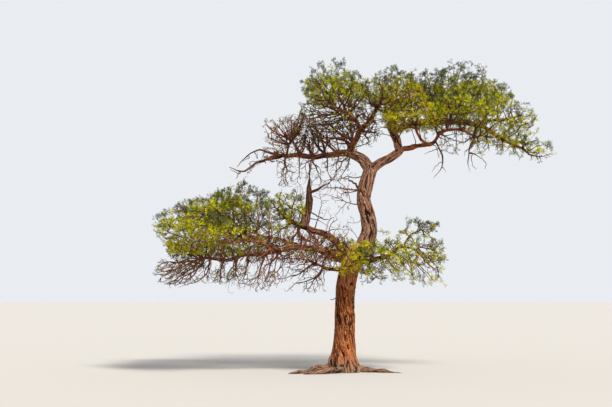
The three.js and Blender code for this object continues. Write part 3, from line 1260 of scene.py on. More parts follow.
    def _smoothed(self, mesh: Mesh, points: Array, gap: Array) -> Array:
        """Rounds the creases in the forks.

        Args:
            mesh: the skin.
            points: its points.
            gap: how clear of any fork each is.

        Returns:
            The moved points.
        """
        ends = np.empty(len(mesh.edges) * 2, np.int32)
        mesh.edges.foreach_get("vertices", ends)
        ends = ends.reshape(-1, 2)
        share = np.bincount(ends.ravel(), minlength=len(points))[:, None]
        soft = self.fork_smoothing * (1 - self.in_fork.at(gap))[:, None] + self.smoothing
        for _ in range(self.smooth_rounds):
            total = np.zeros_like(points)
            for k in range(3):
                total[:, k] += np.bincount(ends[:, 0], points[ends[:, 1], k], len(points))
                total[:, k] += np.bincount(ends[:, 1], points[ends[:, 0], k], len(points))
            points = points + soft * (total / share - points)
        return points

    def _relief(
        self, points: Array, where: Array, gap: Array, radius: Array
    ) -> tuple[Array, Array]:
        """The bark's relief.

        Args:
            points: the skin's points.
            where: their places in the bark's own measure.
            gap: how clear of any fork each is.
            radius: the limb's radius there.

        Returns:
            How far each point moves outwards, and how high on a ridge it lies, from 0 to 1.
        """
        bend = BEND.at(where)
        grain = where + np.stack([bend, -bend, 0 * bend], axis=1) * self.bending
        ridges = RIDGES.at(grain) + self.second_ridges * SECOND_RIDGES.at(grain)
        crest = self.fissures.at(np.abs(ridges))
        for cracks, opening in CRACKS:
            open_at = opening.at(np.abs(cracks.at(grain)))
            crest = crest * (1 - self.crack_depth + self.crack_depth * open_at)
        kept = self.fork_relief + (1 - self.fork_relief) * self.clear_of_fork.at(gap)
        crest = self.fork_crest + (crest - self.fork_crest) * kept
        wide = self._ridge_width(radius)
        lumps = LatticeNoise(NoiseSeed.BARK_LUMP).at(points / self.lump_size) * self.lump * radius
        move = self.depth * wide * self.full_relief.at(wide) * (crest - self.middle_crest) + lumps
        move += self._buttresses(points)
        for knot in self.knots:
            away = np.linalg.norm(points - np.array(knot.place), axis=1) / knot.size
            bell = np.exp(-self.knot_fall * away**2)
            move += knot.height * bell
            # Hollows lower the ridge mark, which paints shade into them.
            crest = crest * (1 - knot.dark * np.clip(self.knot_shade * bell, 0, 1))
        return move, np.clip(crest, 0, 1)

    def _buttresses(self, points: Array) -> Array:
        """How far the trunk's foot stands out towards its roots, and draws in between them.

        Args:
            points: the skin's points.

        Returns:
            A distance outwards for each point.
        """
        if self.limbs[0].name != TRUNK:
            return np.zeros(len(points))
        turn = np.arctan2(points[:, 1], points[:, 0])
        swell = np.full(len(points), -self.drawn_in)
        for course in ROOT_COURSES.values():
            off = np.angle(np.exp(1j * (turn - math.atan2(course[1][1], course[1][0]))))
            swell += np.exp(-((off / self.buttress_width) ** 2))
        near = 1 - self.past_foot.at(np.hypot(points[:, 0], points[:, 1]))
        fade = np.exp(-((np.maximum(points[:, 2], 0) / self.buttress_fade) ** 1.5))
        return self.buttress * swell * fade * near

    @staticmethod
    def _cut_at_ground(mesh: Mesh) -> None:
        """Cuts off what is below the ground, closes the skin there and leaves only triangles.

        Args:
            mesh: the skin.
        """
        work = bmesh.new()
        work.from_mesh(mesh)
        if min(point.co.z for point in work.verts) < 0:
            bmesh.ops.bisect_plane(
                work,
                geom=work.verts[:] + work.edges[:] + work.faces[:],
                dist=1e-5,
                plane_co=(0, 0, 0),
                plane_no=(0, 0, 1),
                clear_inner=True,
            )
            bmesh.ops.holes_fill(work, edges=[edge for edge in work.edges if edge.is_boundary], sides=0)
        bmesh.ops.triangulate(work, faces=work.faces[:])
        work.to_mesh(mesh)
        work.free()


# The crown

# The most walls that are counted above a point, and how far past one the next is looked for.
MOST_WALLS = 8
PAST_WALL = 1e-4
# The lean that growth has where nothing else is said.
UPWARD = (0.0, 0.0, 0.06)
# The number of forks that marks a joint which never sprouts.
RESTING = 9


@dataclass
class Mass:
    """One solid of the crown, as the space that its twigs fill."""

    name: str
    bare: bool
    tree: BVHTree
    low: Array
    high: Array

    @classmethod
    def of_node(cls, name: str, node: Piece, bare: bool) -> "Mass":
        """Reads a mass from its node.

        Args:
            name: the node's name.
            node: the node.
            bare: whether its twigs carry few leaves.

        Returns:
            The mass.
        """
        points = vertices_of(node.data)
        faces = [tuple(face.vertices) for face in node.data.polygons]
        tree = BVHTree.FromPolygons([tuple(p) for p in points], faces)
        return cls(name, bare, tree, points.min(axis=0), points.max(axis=0))

    def _walls(self, point: Vector, way: int) -> tuple[int, float]:
        """Counts the walls straight above or below a point.

        Args:
            point: the point.
            way: 1 for above and -1 for below.

        Returns:
            How many walls there are, and how far off the first is.
        """
        start, hits, reach = point.copy(), 0, 0.0
        while hits < MOST_WALLS:
            hit = self.tree.ray_cast(start, Vector((0, 0, way)))[0]
            if hit is None:
                break
            hits += 1
            if hits == 1:
                reach = abs(hit.z - point.z)
            start = hit + Vector((0, 0, way * PAST_WALL))
        return hits, reach

    def height_in(self, point: Array) -> float | None:
        """How high a point lies between the mass's underside and its top.

        Args:
            point: the point.

        Returns:
            A number from 0 to 1, or nothing where the point is outside.
        """
        above, top = self._walls(Vector(point), 1)
        below, bottom = self._walls(Vector(point), -1)
        if above % 2 == 0 or below % 2 == 0:
            return None
        return bottom / max(top + bottom, 1e-6)


@dataclass(frozen=True)
class TwigField:
    """A box of open air that twigs fill, some of them with leaves."""

    name: str
    part: str
    low: Triple
    high: Triple
    count: int
    leafy: float = 0.02
    flow: Triple = UPWARD
    level: float = 0.0


@dataclass
class Crown:
    """The boughs, branches and twigs that grow on from the limbs, by one seeded rule.

    Each target pulls the joint that is nearest to it, and a joint that is pulled grows by a step.
    A target that a joint comes close to pulls no more.
    """

    seed: int = 7
    step: float = 0.06
    reach: float = 1.0
    kill: float = 0.075
    bare_kill: float = 0.05
    sprout_every: float = 0.3
    clear_joints: int = 3
    most_forks: int = 3
    most_joints: int = 60000
    rounds: int = 400
    per_cubic_metre: float = 900.0
    bare_density: float = 1.7
    clump_grain: float = 2.9
    small_clump_grain: float = 6.1
    small_clump_shift: float = 40.0
    small_clumps: float = 0.5
    in_clump: Ramp = Ramp(-0.85, 0.1)
    tuft_grain: Triple = (4.6, 4.6, 1.2)
    in_tuft: Ramp = Ramp(-0.15, 0.35)
    tuft_level: float = 0.72
    between_tufts: float = 0.12
    wanted_low: float = 0.75
    wanted_rise: float = 0.3
    wander: float = 0.45
    straight: float = 0.45
    tip_radius: float = 0.0042
    bare_tip_radius: float = 0.0046
    pipe: float = 2.35
    taper: float = 0.87
    narrowing: float = 0.93
    smooth_rounds: int = 2
    smoothing: float = 0.4

    def __post_init__(self) -> None:
        """Starts the random draws and the empty lists."""
        self.draw = np.random.default_rng(self.seed)
        self.place = np.zeros((self.most_joints, 3))
        self.parent = np.full(self.most_joints, -1)
        self.thick = np.zeros(self.most_joints)
        self.part = np.full(self.most_joints, -1)
        self.level = np.zeros(self.most_joints)
        self.forks = np.zeros(self.most_joints, int)
        self.count = 0

    def spread_targets(self, masses: list[Mass], fields: tuple[TwigField, ...]) -> None:
        """Spreads the points that the twigs reach for.

        Args:
            masses: the solids of the crown.
            fields: boxes of twigs outside the masses.
        """
        places, owners, heights = [], [], []
        for number, mass in enumerate(masses):
            for point, level in self._targets_in(mass):
                places.append(point)
                owners.append(number)
                heights.append(level)
        for number, box in enumerate(fields):
            low, high = np.array(box.low), np.array(box.high)
            places.extend(low + self.draw.random((box.count, 3)) * (high - low))
            owners.extend([len(masses) + number] * box.count)
            heights.extend([box.level] * box.count)
        self.targets = np.array(places)
        self.owner = np.array(owners)
        self.height = np.array(heights)
        bare = np.array([mass.bare for mass in masses] + [True] * len(fields))
        self.kills = np.where(bare[self.owner], self.bare_kill, self.kill)
        flows = [FLOWS.get(mass.name, UPWARD) for mass in masses] + [box.flow for box in fields]
        self.flows = np.array(flows)
        names = [mass.name for mass in masses] + [box.name for box in fields]
        usual = np.where(bare, self.bare_tip_radius, self.tip_radius)
        self.ends = np.array([STOUT_ENDS.get(name, end) for name, end in zip(names, usual)])
        log.info("crown: %d targets", len(places))

    def _targets_in(self, mass: Mass) -> list[tuple[Array, float]]:
        """Spreads points in a mass, in clumps, and in tufts near its top.

        Args:
            mass: the mass.

        Returns:
            Each point and its height in the mass.
        """
        size = mass.high - mass.low
        density = self.per_cubic_metre * (self.bare_density if mass.bare else 1.0)
        count = int(np.prod(size) * (density * SPARSE.get(mass.name, 1.0)))
        tried = mass.low + self.draw.random((count, 3)) * size
        clumps = LatticeNoise(NoiseSeed.CROWN_CLUMP)
        small = clumps.at(tried * self.small_clump_grain + self.small_clump_shift)
        clump = clumps.at(tried * self.clump_grain) + self.small_clumps * small
        tufts = LatticeNoise(NoiseSeed.CROWN_TUFT).at(tried * self.tuft_grain)
        luck = self.draw.random(count)
        kept = []
        for point, patch, tuft, chance in zip(tried, clump, tufts, luck):
            level = mass.height_in(point)
            if level is None:
                continue
            wanted = (self.wanted_low + self.wanted_rise * level) * float(self.in_clump.at(patch))
            if level > self.tuft_level:
                wanted *= self.between_tufts + (1 - self.between_tufts) * float(self.in_tuft.at(tuft))
            if chance < wanted:
                kept.append((point, level))
        return kept

    def _add(self, place: Array, parent: int) -> int:
        """Adds a joint.

        Args:
            place: where it is.
            parent: the number of the joint that carries it.

        Returns:
            Its own number.
        """
        made = self.count
        self.place[made] = place
        self.parent[made] = parent
        self.count += 1
        return made

    def _plant(self, limbs: list[Limb], bare_foot: float) -> None:
        """Sets joints along the limbs, some of which may sprout.

        Args:
            limbs: the living limbs.
            bare_foot: height under which nothing sprouts.
        """
        every = max(1, round(self.sprout_every / self.step))
        tips = []
        for limb in limbs:
            path, radii = limb.stations(self.step)
            for k, (point, radius) in enumerate(zip(path, radii)):
                joint = self._add(point, self.count - 1 if k else -1)
                self.thick[joint] = radius
                kept_bare = k % every or point[2] < bare_foot or k < self.clear_joints
                self.forks[joint] = RESTING if kept_bare and k < len(path) - 1 else 0
            tips.append(self.count - 1)
        self.first = self.count
        self.tips = np.array(tips)

    def grow(self, limbs: list[Limb], bare_foot: float) -> None:
        """Grows the branches.

        Args:
            limbs: the living limbs.
            bare_foot: height under which nothing sprouts.
        """
        self._plant(limbs, bare_foot)
        near = np.full(len(self.targets), -1)
        away = np.full(len(self.targets), FAR)
        alive = np.ones(len(self.targets), bool)
        fresh = np.flatnonzero(self.forks[: self.count] < RESTING)
        for _ in range(self.rounds):
            idle = np.flatnonzero(alive)
            if not len(fresh) or not len(idle):
                break
            gap = np.linalg.norm(self.targets[idle][:, None] - self.place[fresh][None], axis=2)
            k = np.argmin(gap, axis=1)
            closest = gap[np.arange(len(idle)), k]
            better = closest < away[idle]
            away[idle[better]] = closest[better]
            near[idle[better]] = fresh[k[better]]
            alive[away < self.kills] = False
            pulled = np.flatnonzero(alive & (away < self.reach))
            if not len(pulled):
                break
            fresh = self._step_on(pulled, near[pulled], alive)
        log.info("crown: %d joints grown, %d targets left", self.count - self.first, int(alive.sum()))

    def _step_on(self, pulled: Array, near: Array, alive: Array) -> Array:
        """Grows a step from each joint that is pulled.

        Args:
            pulled: the numbers of the targets that pull.
            near: the joint that each of them pulls.
            alive: which targets still pull; those that pull a joint with no fork left stop.

        Returns:
            The numbers of the new joints.
        """
        sources, first, back = np.unique(near, return_index=True, return_inverse=True)
        leaders = pulled[first]
        pull = np.zeros((len(sources), 3))
        np.add.at(pull, back, unit(self.targets[pulled] - self.place[near]))
        swerve = self.draw.normal(size=(len(sources), 3)) * self.wander
        heading = np.zeros((len(sources), 3))
        grown = (sources >= self.first) & (self.forks[sources] == 0)
        up = self.parent[sources[grown]]
        heading[grown] = unit(self.place[sources[grown]] - self.place[up])
        way = unit(unit(pull) + self.straight * heading + swerve + self.flows[self.owner[leaders]])
        tips = self.place[sources] + self.step * way
        made = []
        for n, source in enumerate(sources):
            if self.forks[source] >= self.most_forks:
                alive[pulled[back == n]] = False
                continue
            joint = self._add(tips[n], source)
            self.part[joint] = self.owner[leaders[n]]
            self.level[joint] = self.height[leaders[n]]
            self.forks[source] += 1
            made.append(joint)
        return np.array(made, int)

    def thicken(self) -> None:
        """Gives each joint of the branches a radius from what it carries, and smooths their run."""
        load = np.zeros(self.count)
        kids: list[list[int]] = [[] for _ in range(self.count)]
        for k in range(self.count - 1, self.first - 1, -1):
            if not kids[k]:
                load[k] = self.ends[self.part[k]] ** self.pipe
            up = self.parent[k]
            kids[up].append(k)
            load[up] += load[k]
        radius = load ** (1 / self.pipe)
        carried = np.zeros(self.count, bool)
        carried[self.tips] = True
        for k in range(self.first, self.count):
            up = self.parent[k]
            least = self.taper * self.thick[up] if carried[up] else 0.0
            self.thick[k] = min(max(radius[k], least), self.narrowing * self.thick[up])
            carried[k] = carried[up] and load[k] == max(load[kid] for kid in kids[up])
        self.kids = kids
        self.load = load
        for _ in range(self.smooth_rounds):
            moved = self.place.copy()
            for k in range(self.first, self.count):
                if kids[k]:
                    main = max(kids[k], key=lambda kid: load[kid])
                    middle = (self.place[self.parent[k]] + self.place[main]) / 2
                    moved[k] = (1 - self.smoothing) * self.place[k] + self.smoothing * middle
            self.place = moved

    def chains(self) -> list[list[int]]:
        """Splits the branches into runs, each from its fork to its own tip.

        Returns:
            Lists of joint numbers; the first joint of each is on the branch that carries it.
        """
        runs = []
        heads = [k for k in range(self.first, self.count) if self.parent[k] < self.first]
        while heads:
            k = heads.pop()
            run = [int(self.parent[k]), k]
            while self.kids[k]:
                kids = sorted(self.kids[k], key=lambda kid: -self.load[kid])
                heads.extend(kids[1:])
                k = kids[0]
                run.append(k)
            runs.append(run)
        return runs


# Twigs and leaves


@dataclass
class Strands:
    """Chains of points with a thickness, which the twig recipe turns into tubes."""

    points: list[Array] = field(default_factory=list)
    edges: list[tuple[int, int]] = field(default_factory=list)
    thick: list[float] = field(default_factory=list)

    def add(self, path: Array, radii: Array) -> None:
        """Adds a chain.

        Args:
            path: its points.
            radii: its radius at each.
        """
        base = len(self.points)
        self.points.extend(path)
        self.thick.extend(radii)
        self.edges.extend([(base + k, base + k + 1) for k in range(len(path) - 1)])

    def tubes(
        self, name: str, recipe: TwigTubes, sides: TubeSides, bark: Material
    ) -> Piece:
        """Turns the chains into closed tubes.

        Args:
            name: the new object's name.
            recipe: the Geometry Nodes tree that makes them.
            sides: how many sides they have.
            bark: their material.

        Returns:
            The object.
        """
        piece = mesh_piece(name, np.array(self.points), [], self.edges)
        store(piece.data, "thick", np.array(self.thick))
        return recipe.apply(piece, {"Sides": int(sides), "Bark": bark})


@dataclass
class TwigWork:
    """Turns the crown's runs of joints into closed tubes, one piece for each part of the crown."""

    recipe: TwigTubes
    stout: float = 0.012
    middling: float = 0.0055
    widest_foot: float = 1.25
    tip_share: float = 0.6

    def build(
        self,
        name: str,
        finish: TwigFinish,
        crown: Crown,
        runs: list[list[int]],
        slot: Slot,
        nodes: list[str],
    ) -> None:
        """Makes one piece of twigs.

        Args:
            name: the piece's name.
            finish: the twigs' bark.
            crown: the grown crown.
            runs: the runs of joints that belong to the piece.
            slot: the record's slot.
            nodes: the nodes that it replaces.
        """
        strands = {sides: Strands() for sides in (TubeSides.THIN, TubeSides.MIDDLING, TubeSides.STOUT)}
        for run in runs:
            radii = crown.thick[run].copy()
            chosen = strands[self._sides(radii[1])]
            radii[0] = min(radii[0], self.widest_foot * radii[1])
            radii[-1] *= self.tip_share
            chosen.add(crown.place[run], radii)
        bark = finish.material()
        made = [
            chosen.tubes(f"{name}_{sides.name.lower()}", self.recipe, sides, bark)
            for sides, chosen in strands.items()
            if chosen.points
        ]
        finished(joined(name, made), slot, nodes)

    def _sides(self, radius: float) -> TubeSides:
        """The sides of a run's tube.

        Args:
            radius: the run's radius where it starts.

        Returns:
            More sides for a stouter run.
        """
        if radius > self.stout:
            return TubeSides.STOUT
        return TubeSides.MIDDLING if radius > self.middling else TubeSides.THIN


@dataclass(frozen=True)
class Sprig:
    """A dead twig of its own shape, as the x and z of its points, from the limb that carries it."""

    limb: str
    thick: float
    course: tuple[tuple[float, float], ...]
    lean: float = 0.0
    spacing: float = 0.045
    tip_share: float = 0.35
    lean_at_foot: float = 0.2

    def path(self, limb: Limb) -> tuple[Array, Array]:
        """The twig's points and radii.

        Args:
            limb: the limb that carries it.

        Returns:
            Its points, the first on the limb's axis, and its radii.
        """
        course = np.array(self.course)
        axis, _ = limb.stations()
        k = int(np.argmin(np.hypot(axis[:, 0] - course[0, 0], axis[:, 2] - course[0, 1])))
        depth = axis[k, 1] + self.lean * np.linspace(self.lean_at_foot, 1, len(course))
        points = np.stack([course[:, 0], depth, course[:, 1]], axis=1)
        points = np.vstack([axis[k], points])
        radii = np.linspace(self.thick, self.tip_share * self.thick, len(points))
        return spline(points, radii, self.spacing)


@dataclass
class SprigWork:
    """Makes the dead twigs."""

    recipe: TwigTubes
    finish: TwigFinish
    knobble: float = 0.008
    uneven: float = 0.15
    seed: int = 77

    def build(self, name: str, sprigs: tuple[Sprig, ...], limbs: dict[str, Limb]) -> None:
        """Makes one piece of dead twigs.

        Args:
            name: the piece's name.
            sprigs: the twigs.
            limbs: all the limbs by name.
        """
        draw = np.random.default_rng(self.seed)
        strands = Strands()
        for sprig in sprigs:
            path, radii = sprig.path(limbs[sprig.limb])
            path[1:] += draw.normal(size=(len(path) - 1, 3)) * self.knobble
            strands.add(path, radii * draw.uniform(1 - self.uneven, 1 + self.uneven, len(radii)))
        piece = strands.tubes(name, self.recipe, TubeSides.DEAD, self.finish.material())
        finished(piece, Slot.DEAD_WOOD, [])


@dataclass
class SprayKit:
    """The kinds of spray: a few feathered leaves from one joint, each leaf in pairs of blades."""

    kinds: int = 8
    leaves: int = 2
    pairs: int = 3
    stalk: float = 0.055
    stalk_half: float = 0.0012
    blade: float = 0.034
    width: float = 0.0115
    first_pair: float = 0.35
    pair_span: float = 0.62
    stalk_droop: float = 0.12
    pair_droop: float = 0.1
    flutter: float = 0.22
    twist: float = 0.35
    turn_stray: float = 0.25
    leans: tuple[float, float] = (0.5, 1.25)
    leaf_sizes: tuple[float, float] = (0.8, 1.2)
    blade_angles: tuple[float, float] = (0.75, 1.15)
    blade_sizes: tuple[float, float] = (0.8, 1.1)
    seed: int = 5

    def build(self) -> bpy.types.Collection:
        """Makes one object for each kind.

        Returns:
            A collection of them, outside the scene.
        """
        draw = np.random.default_rng(self.seed)
        kit = bpy.data.collections.new("sprays")
        for kind in range(self.kinds):
            corners: list[Array] = []
            for leaf in range(self.leaves):
                stray = draw.uniform(-self.turn_stray, self.turn_stray)
                turn = 2 * math.pi * (leaf + stray) / self.leaves
                corners.extend(self._leaf(turn, draw.uniform(*self.leans), draw))
            faces = [tuple(range(base, base + 4)) for base in range(0, len(corners), 4)]
            mesh = bpy.data.meshes.new(f"spray_{kind}")
            mesh.from_pydata(np.array(corners), [], faces)
            kit.objects.link(bpy.data.objects.new(mesh.name, mesh))
        return kit

    def _leaf(self, turn: float, lean: float, draw: np.random.Generator) -> list[Array]:
        """Makes one leaf of a spray: a stalk and its pairs of blades.

        Args:
            turn: the leaf's way round the twig.
            lean: its angle from the twig.
            draw: the random draws.

        Returns:
            The corners of its faces, four to a face.
        """
        out = np.array([math.cos(turn), math.sin(turn), 0.0])
        along = unit(out * math.sin(lean) + Z_UP * math.cos(lean))
        side = unit(np.cross(along, unit(draw.normal(size=3))))
        face = np.cross(along, side)
        size = draw.uniform(*self.leaf_sizes)
        length = self.stalk * size
        half = self.stalk_half * side
        tip = along * length - self.stalk_droop * length * face
        corners = [-half, half, tip + 0.5 * half, tip - 0.5 * half]
        for pair in range(self.pairs):
            droop = self.pair_droop * length * face * pair / 2
            at = (self.first_pair + self.pair_span * pair / (self.pairs - 1)) * (along * length - droop)
            for hand in (-1, 1):
                angle = draw.uniform(*self.blade_angles)
                way = unit(hand * side * math.sin(angle) + along * math.cos(angle))
                way = unit(way + self.flutter * draw.normal() * face)
                broad = unit(np.cross(face, way) + self.twist * draw.normal() * face)
                long = self.blade * size * draw.uniform(*self.blade_sizes)
                middle = at + 0.5 * long * way
                edge = self.width * size * 0.5 * broad
                corners.extend([at, middle + edge, at + long * way, middle - edge])
        return corners


# Tints by how much light a spray gets, each from the light at which it starts.
LIGHT_TINTS = (
    (-0.05, Tint.DEEP_GREEN),
    (0.2, Tint.OLIVE),
    (0.42, Tint.LIME),
    (0.72, Tint.YELLOW_GREEN),
)
# Tints of sprays on nearly bare twigs. Each takes its share of them, the later from the earlier.
DULL_TINTS = (
    (0.75, Tint.OLIVE),
    (0.4, Tint.GREY_GREEN),
    (0.2, Tint.RUST),
)


def glow(places: Array, spots: tuple[tuple[Triple, Triple], ...]) -> Array:
    """How deep places lie in some soft spots.

    Args:
        places: rows of x, y, z.
        spots: the middle of each spot, and how far it spreads.

    Returns:
        About 1 in the middle of a spot and 0 far off, for each place.
    """
    total = np.zeros(len(places))
    for middle, wide in spots:
        total += np.exp(-np.sum(((places - middle) / wide) ** 2, axis=1))
    return total


@dataclass
class Foliage:
    """Where the sprays sit, how they are turned and which tint each takes."""

    seed: int = 23
    per_joint: float = 1.8
    at_tips: float = 1.7
    thickest: float = 0.0062
    bare_share: float = 0.13
    leafy_level: Ramp = Ramp(0.1, 0.48)
    bare_leafy_level: Ramp = Ramp(0.2, 0.9)
    near_top: Ramp = Ramp(0.8, 1.0)
    leafy_patch: Ramp = Ramp(-0.5, 0.35)
    patch_grain: float = 4.4
    off_patch: float = 0.35
    on_patch: float = 0.9
    thinner_on_top: float = 0.35
    least_chance: float = 0.03
    sizes: tuple[float, float] = (0.72, 1.3)
    # How far a spray follows its twig, strays from it and turns upwards.
    follow: float = 0.7
    stray: float = 0.6
    rise: float = 0.35
    # The light that a spray gets, which its tint goes by, and the shares of the rarer tints.
    light_low: float = 0.2
    light_rise: float = 1.1
    light_patch: float = 0.6
    light_patch_grain: float = 1.6
    light_speck: float = 0.75
    light_speck_grain: float = 5.0
    light_scatter: float = 0.25
    light_golden: float = 0.6
    light_bright: float = 0.22
    # High in a mass a spray gets less painted light, so a darker tint, and is more often grey-green.
    high_in_mass: Ramp = Ramp(0.5, 0.9)
    light_lost_high: float = 1.25
    least_golden: float = 0.35
    golden_share: float = 0.75
    grey_share: float = 0.05
    grey_when_high: float = 0.5
    rust_share: float = 0.02

    def sow(
        self, crown: Crown, masses: list[Mass], fields: tuple[TwigField, ...]
    ) -> dict[str, Array]:
        """Sets out all the sprays.

        Args:
            crown: the grown crown.
            masses: its solids.
            fields: its boxes of twigs.

        Returns:
            Arrays by name: place, aim, size, tint and part, one row for each spray.
        """
        draw = np.random.default_rng(self.seed)
        joints = np.arange(crown.first, crown.count)
        joints = joints[crown.thick[joints] < self.thickest]
        bare = np.array([mass.bare for mass in masses] + [False] * len(fields))
        share = np.array([np.nan] * len(masses) + [box.leafy for box in fields])
        owner, level = crown.part[joints], crown.level[joints]
        patch = LatticeNoise(NoiseSeed.LEAFY_PATCH).at(crown.place[joints] * self.patch_grain)
        thinner = 1 - self.thinner_on_top * self.near_top.at(level)
        chance = self.leafy_level.at(level) * thinner + self.least_chance
        chance = chance * (self.off_patch + self.on_patch * self.leafy_patch.at(patch))
        chance = np.where(bare[owner], self.bare_share * self.bare_leafy_level.at(level), chance)
        chance = np.where(np.isnan(share[owner]), chance, share[owner])
        tips = np.array([not crown.kids[k] for k in joints])
        amount = self.per_joint * chance * np.where(tips, self.at_tips, 1.0)
        number = np.floor(amount + draw.random(len(joints))).astype(int)
        chosen = np.repeat(joints, number)
        count = len(chosen)
        up = crown.parent[chosen]
        along = unit(crown.place[chosen] - crown.place[up])
        slide = draw.random(count)[:, None]
        place = crown.place[up] + (crown.place[chosen] - crown.place[up]) * slide
        stray = self.stray * unit(draw.normal(size=(count, 3)))
        aim = unit(self.follow * along + stray + self.rise * Z_UP)
        size = draw.uniform(*self.sizes, count)
        return {
            "place": place,
            "aim": aim,
            "size": size,
            "tint": self._tints(place, crown.level[chosen], bare[crown.part[chosen]], draw),
            "part": crown.part[chosen],
        }

    def _tints(
        self, place: Array, level: Array, bare: Array, draw: np.random.Generator
    ) -> Array:
        """Deals out the tints: yellow and lime in the light, olive and deep green inside.

        Args:
            place: where the sprays are.
            level: how high each lies in its mass.
            bare: whether its twigs are nearly bare.
            draw: the random draws.

        Returns:
            One tint number for each spray.
        """
        patch = LatticeNoise(NoiseSeed.TINT_PATCH).at(place * self.light_patch_grain) * self.light_patch
        speck = LatticeNoise(NoiseSeed.TINT_SPECK).at(place * self.light_speck_grain) * self.light_speck
        high_in_mass = self.high_in_mass.at(level)
        light = self.light_low + self.light_rise * level - self.light_lost_high * high_in_mass
        light += patch + speck + draw.normal(size=len(place)) * self.light_scatter
        golden = glow(place, GOLDEN)
        # Golden spots also get more painted light.
        light += self.light_golden * golden
        light += self.light_bright * glow(place, BRIGHT)
        tint = np.full(len(place), int(Tint.DARK))
        for least, own in LIGHT_TINTS:
            tint[light > least] = own
        gilt = draw.random(len(place)) < self.golden_share * golden
        tint[(light > self.least_golden) & gilt] = Tint.GOLD
        grey = draw.random(len(place)) < self.grey_share + self.grey_when_high * high_in_mass
        tint[grey] = Tint.GREY_GREEN
        tint[draw.random(len(place)) < self.rust_share] = Tint.RUST
        dull = draw.random(len(place))
        for chance, own in DULL_TINTS:
            tint[bare & (dull < chance)] = own
        return tint


@dataclass
class LeafWork:
    """Makes the pieces of leaves from the sprays."""

    recipe: SprayScatter
    kit: bpy.types.Collection

    def __post_init__(self) -> None:
        """Makes the leaf materials once."""
        self.materials = {
            tint.name: PlainFinish(f"leaf_{tint.name.lower()}", LEAF_COLOURS[tint]).material()
            for tint in Tint
        }

    def build(self, name: str, sprays: dict[str, Array], rows: Array, nodes: list[str]) -> None:
        """Makes one piece of leaves.

        Args:
            name: the piece's name, whose length is the seed of its sprays' kinds and turns.
            sprays: all the sprays.
            rows: the sprays of this piece.
            nodes: the nodes that it replaces.
        """
        piece = mesh_piece(name, sprays["place"][rows], [])
        store(piece.data, "aim", sprays["aim"][rows])
        store(piece.data, "size", sprays["size"][rows])
        tint = piece.data.attributes.new("tint", "INT", "POINT")
        tint.data.foreach_set("value", sprays["tint"][rows].astype(np.int32))
        values = {"Sprays": self.kit, "Seed": len(name), **self.materials}
        finished(self.recipe.apply(piece, values), Slot.FOLIAGE, nodes)


# The stage


@dataclass
class Stage:
    """The plain floor, the soft light and the camera at the photograph's angle."""

    eye: Triple = (-0.845, -20.0, 1.6)
    tilt: float = 6.13
    lens: float = 52.3
    sensor: float = 36.0
    floor: float = 900.0
    floor_tint: Colour = (0.371, 0.357, 0.339)
    floor_below: float = 0.002
    sun_from: Triple = (0.4, -0.5, 0.8)
    sun_tint: Colour = (1.0, 0.95, 0.87)
    sun_strength: float = 6.0
    sun_angle: float = 14.0
    sky: Colour = (0.93, 0.96, 1.0)
    sky_strength: float = 0.88

    def build(self) -> None:
        """Sets up the stage."""
        half = self.floor / 2
        corners = np.array([(-half, -half, 0), (half, -half, 0), (half, half, 0), (-half, half, 0)])
        floor = mesh_piece("floor", corners - (0, 0, self.floor_below), [(0, 1, 2, 3)])
        floor.data.materials.append(PlainFinish("floor", self.floor_tint, rough=0.95, sheen=0.0).material())
        self._light()
        self._aim_camera()

    def _light(self) -> None:
        """Sets up the sun and the even light of the sky."""
        lamp = bpy.data.lights.new("sun", "SUN")
        lamp.energy = self.sun_strength
        lamp.angle = math.radians(self.sun_angle)
        lamp.color = self.sun_tint
        sun = linked("sun", lamp)
        sun.rotation_euler = Vector(self.sun_from).to_track_quat("Z", "Y").to_euler()
        world = bpy.data.worlds.new("sky")
        world.use_nodes = True
        back = world.node_tree.nodes["Background"]
        back.inputs["Color"].default_value = opaque(self.sky)
        back.inputs["Strength"].default_value = self.sky_strength
        bpy.context.scene.world = world
        bpy.context.scene.view_settings.view_transform = "Standard"

    def _aim_camera(self) -> None:
        """Sets up the camera."""
        lens = bpy.data.cameras.new("camera")
        lens.lens = self.lens
        lens.sensor_width = self.sensor
        lens.clip_end = 3 * self.floor
        camera = linked("camera", lens)
        camera.location = self.eye
        camera.rotation_euler = Euler((math.radians(90 + self.tilt), 0, 0))
        bpy.context.scene.camera = camera


# The whole tree

CROWN_PARTS: dict[str, tuple[str, ...]] = {
    "top_left": ("mass_top_left", "mass_top_left_back"),
    "left_shoulder": ("mass_left_shoulder",),
    "top_centre": ("mass_top_centre", "mass_back_centre", "mass_front_centre"),
    "top_right": ("mass_top_right", "mass_right_shoulder", "mass_front_right", "mass_back_right"),
    "far_right": ("mass_right_flank", "mass_far_right"),
    "low_left": ("mass_low_left_top", "mass_low_left_outer", "mass_low_left_inner"),
    "low_left_depth": ("mass_low_left_back", "mass_low_left_front"),
    "low_left_bare": ("mass_low_left_tail", "mass_low_left_under", "mass_tangle"),
    "low_right": (
        "mass_low_right_inner", "mass_low_right_outer", "mass_low_right_tip",
        "mass_trunk_front", "mass_low_back",
    ),
}
# Ways in which growth streams in some masses.
FLOWS: dict[str, Triple] = {
    "mass_low_left_tail": (-0.5, 0.0, -0.25),
    "mass_low_left_under": (-0.5, 0.0, -0.15),
    "mass_tangle": (-0.35, 0.0, 0.05),
    "mass_left_shoulder": (-0.5, 0.0, 0.25),
    "mass_low_left_outer": (-0.4, 0.0, 0.05),
    "mass_low_left_top": (-0.3, 0.0, 0.1),
    "mass_far_right": (0.45, 0.0, -0.1),
    "mass_right_flank": (0.35, 0.0, 0.0),
    "mass_low_right_outer": (0.4, 0.0, 0.0),
}
# Masses with fewer targets than others of their size, and the share that they get.
SPARSE = {"mass_low_left_under": 0.42, "mass_left_shoulder": 0.8}
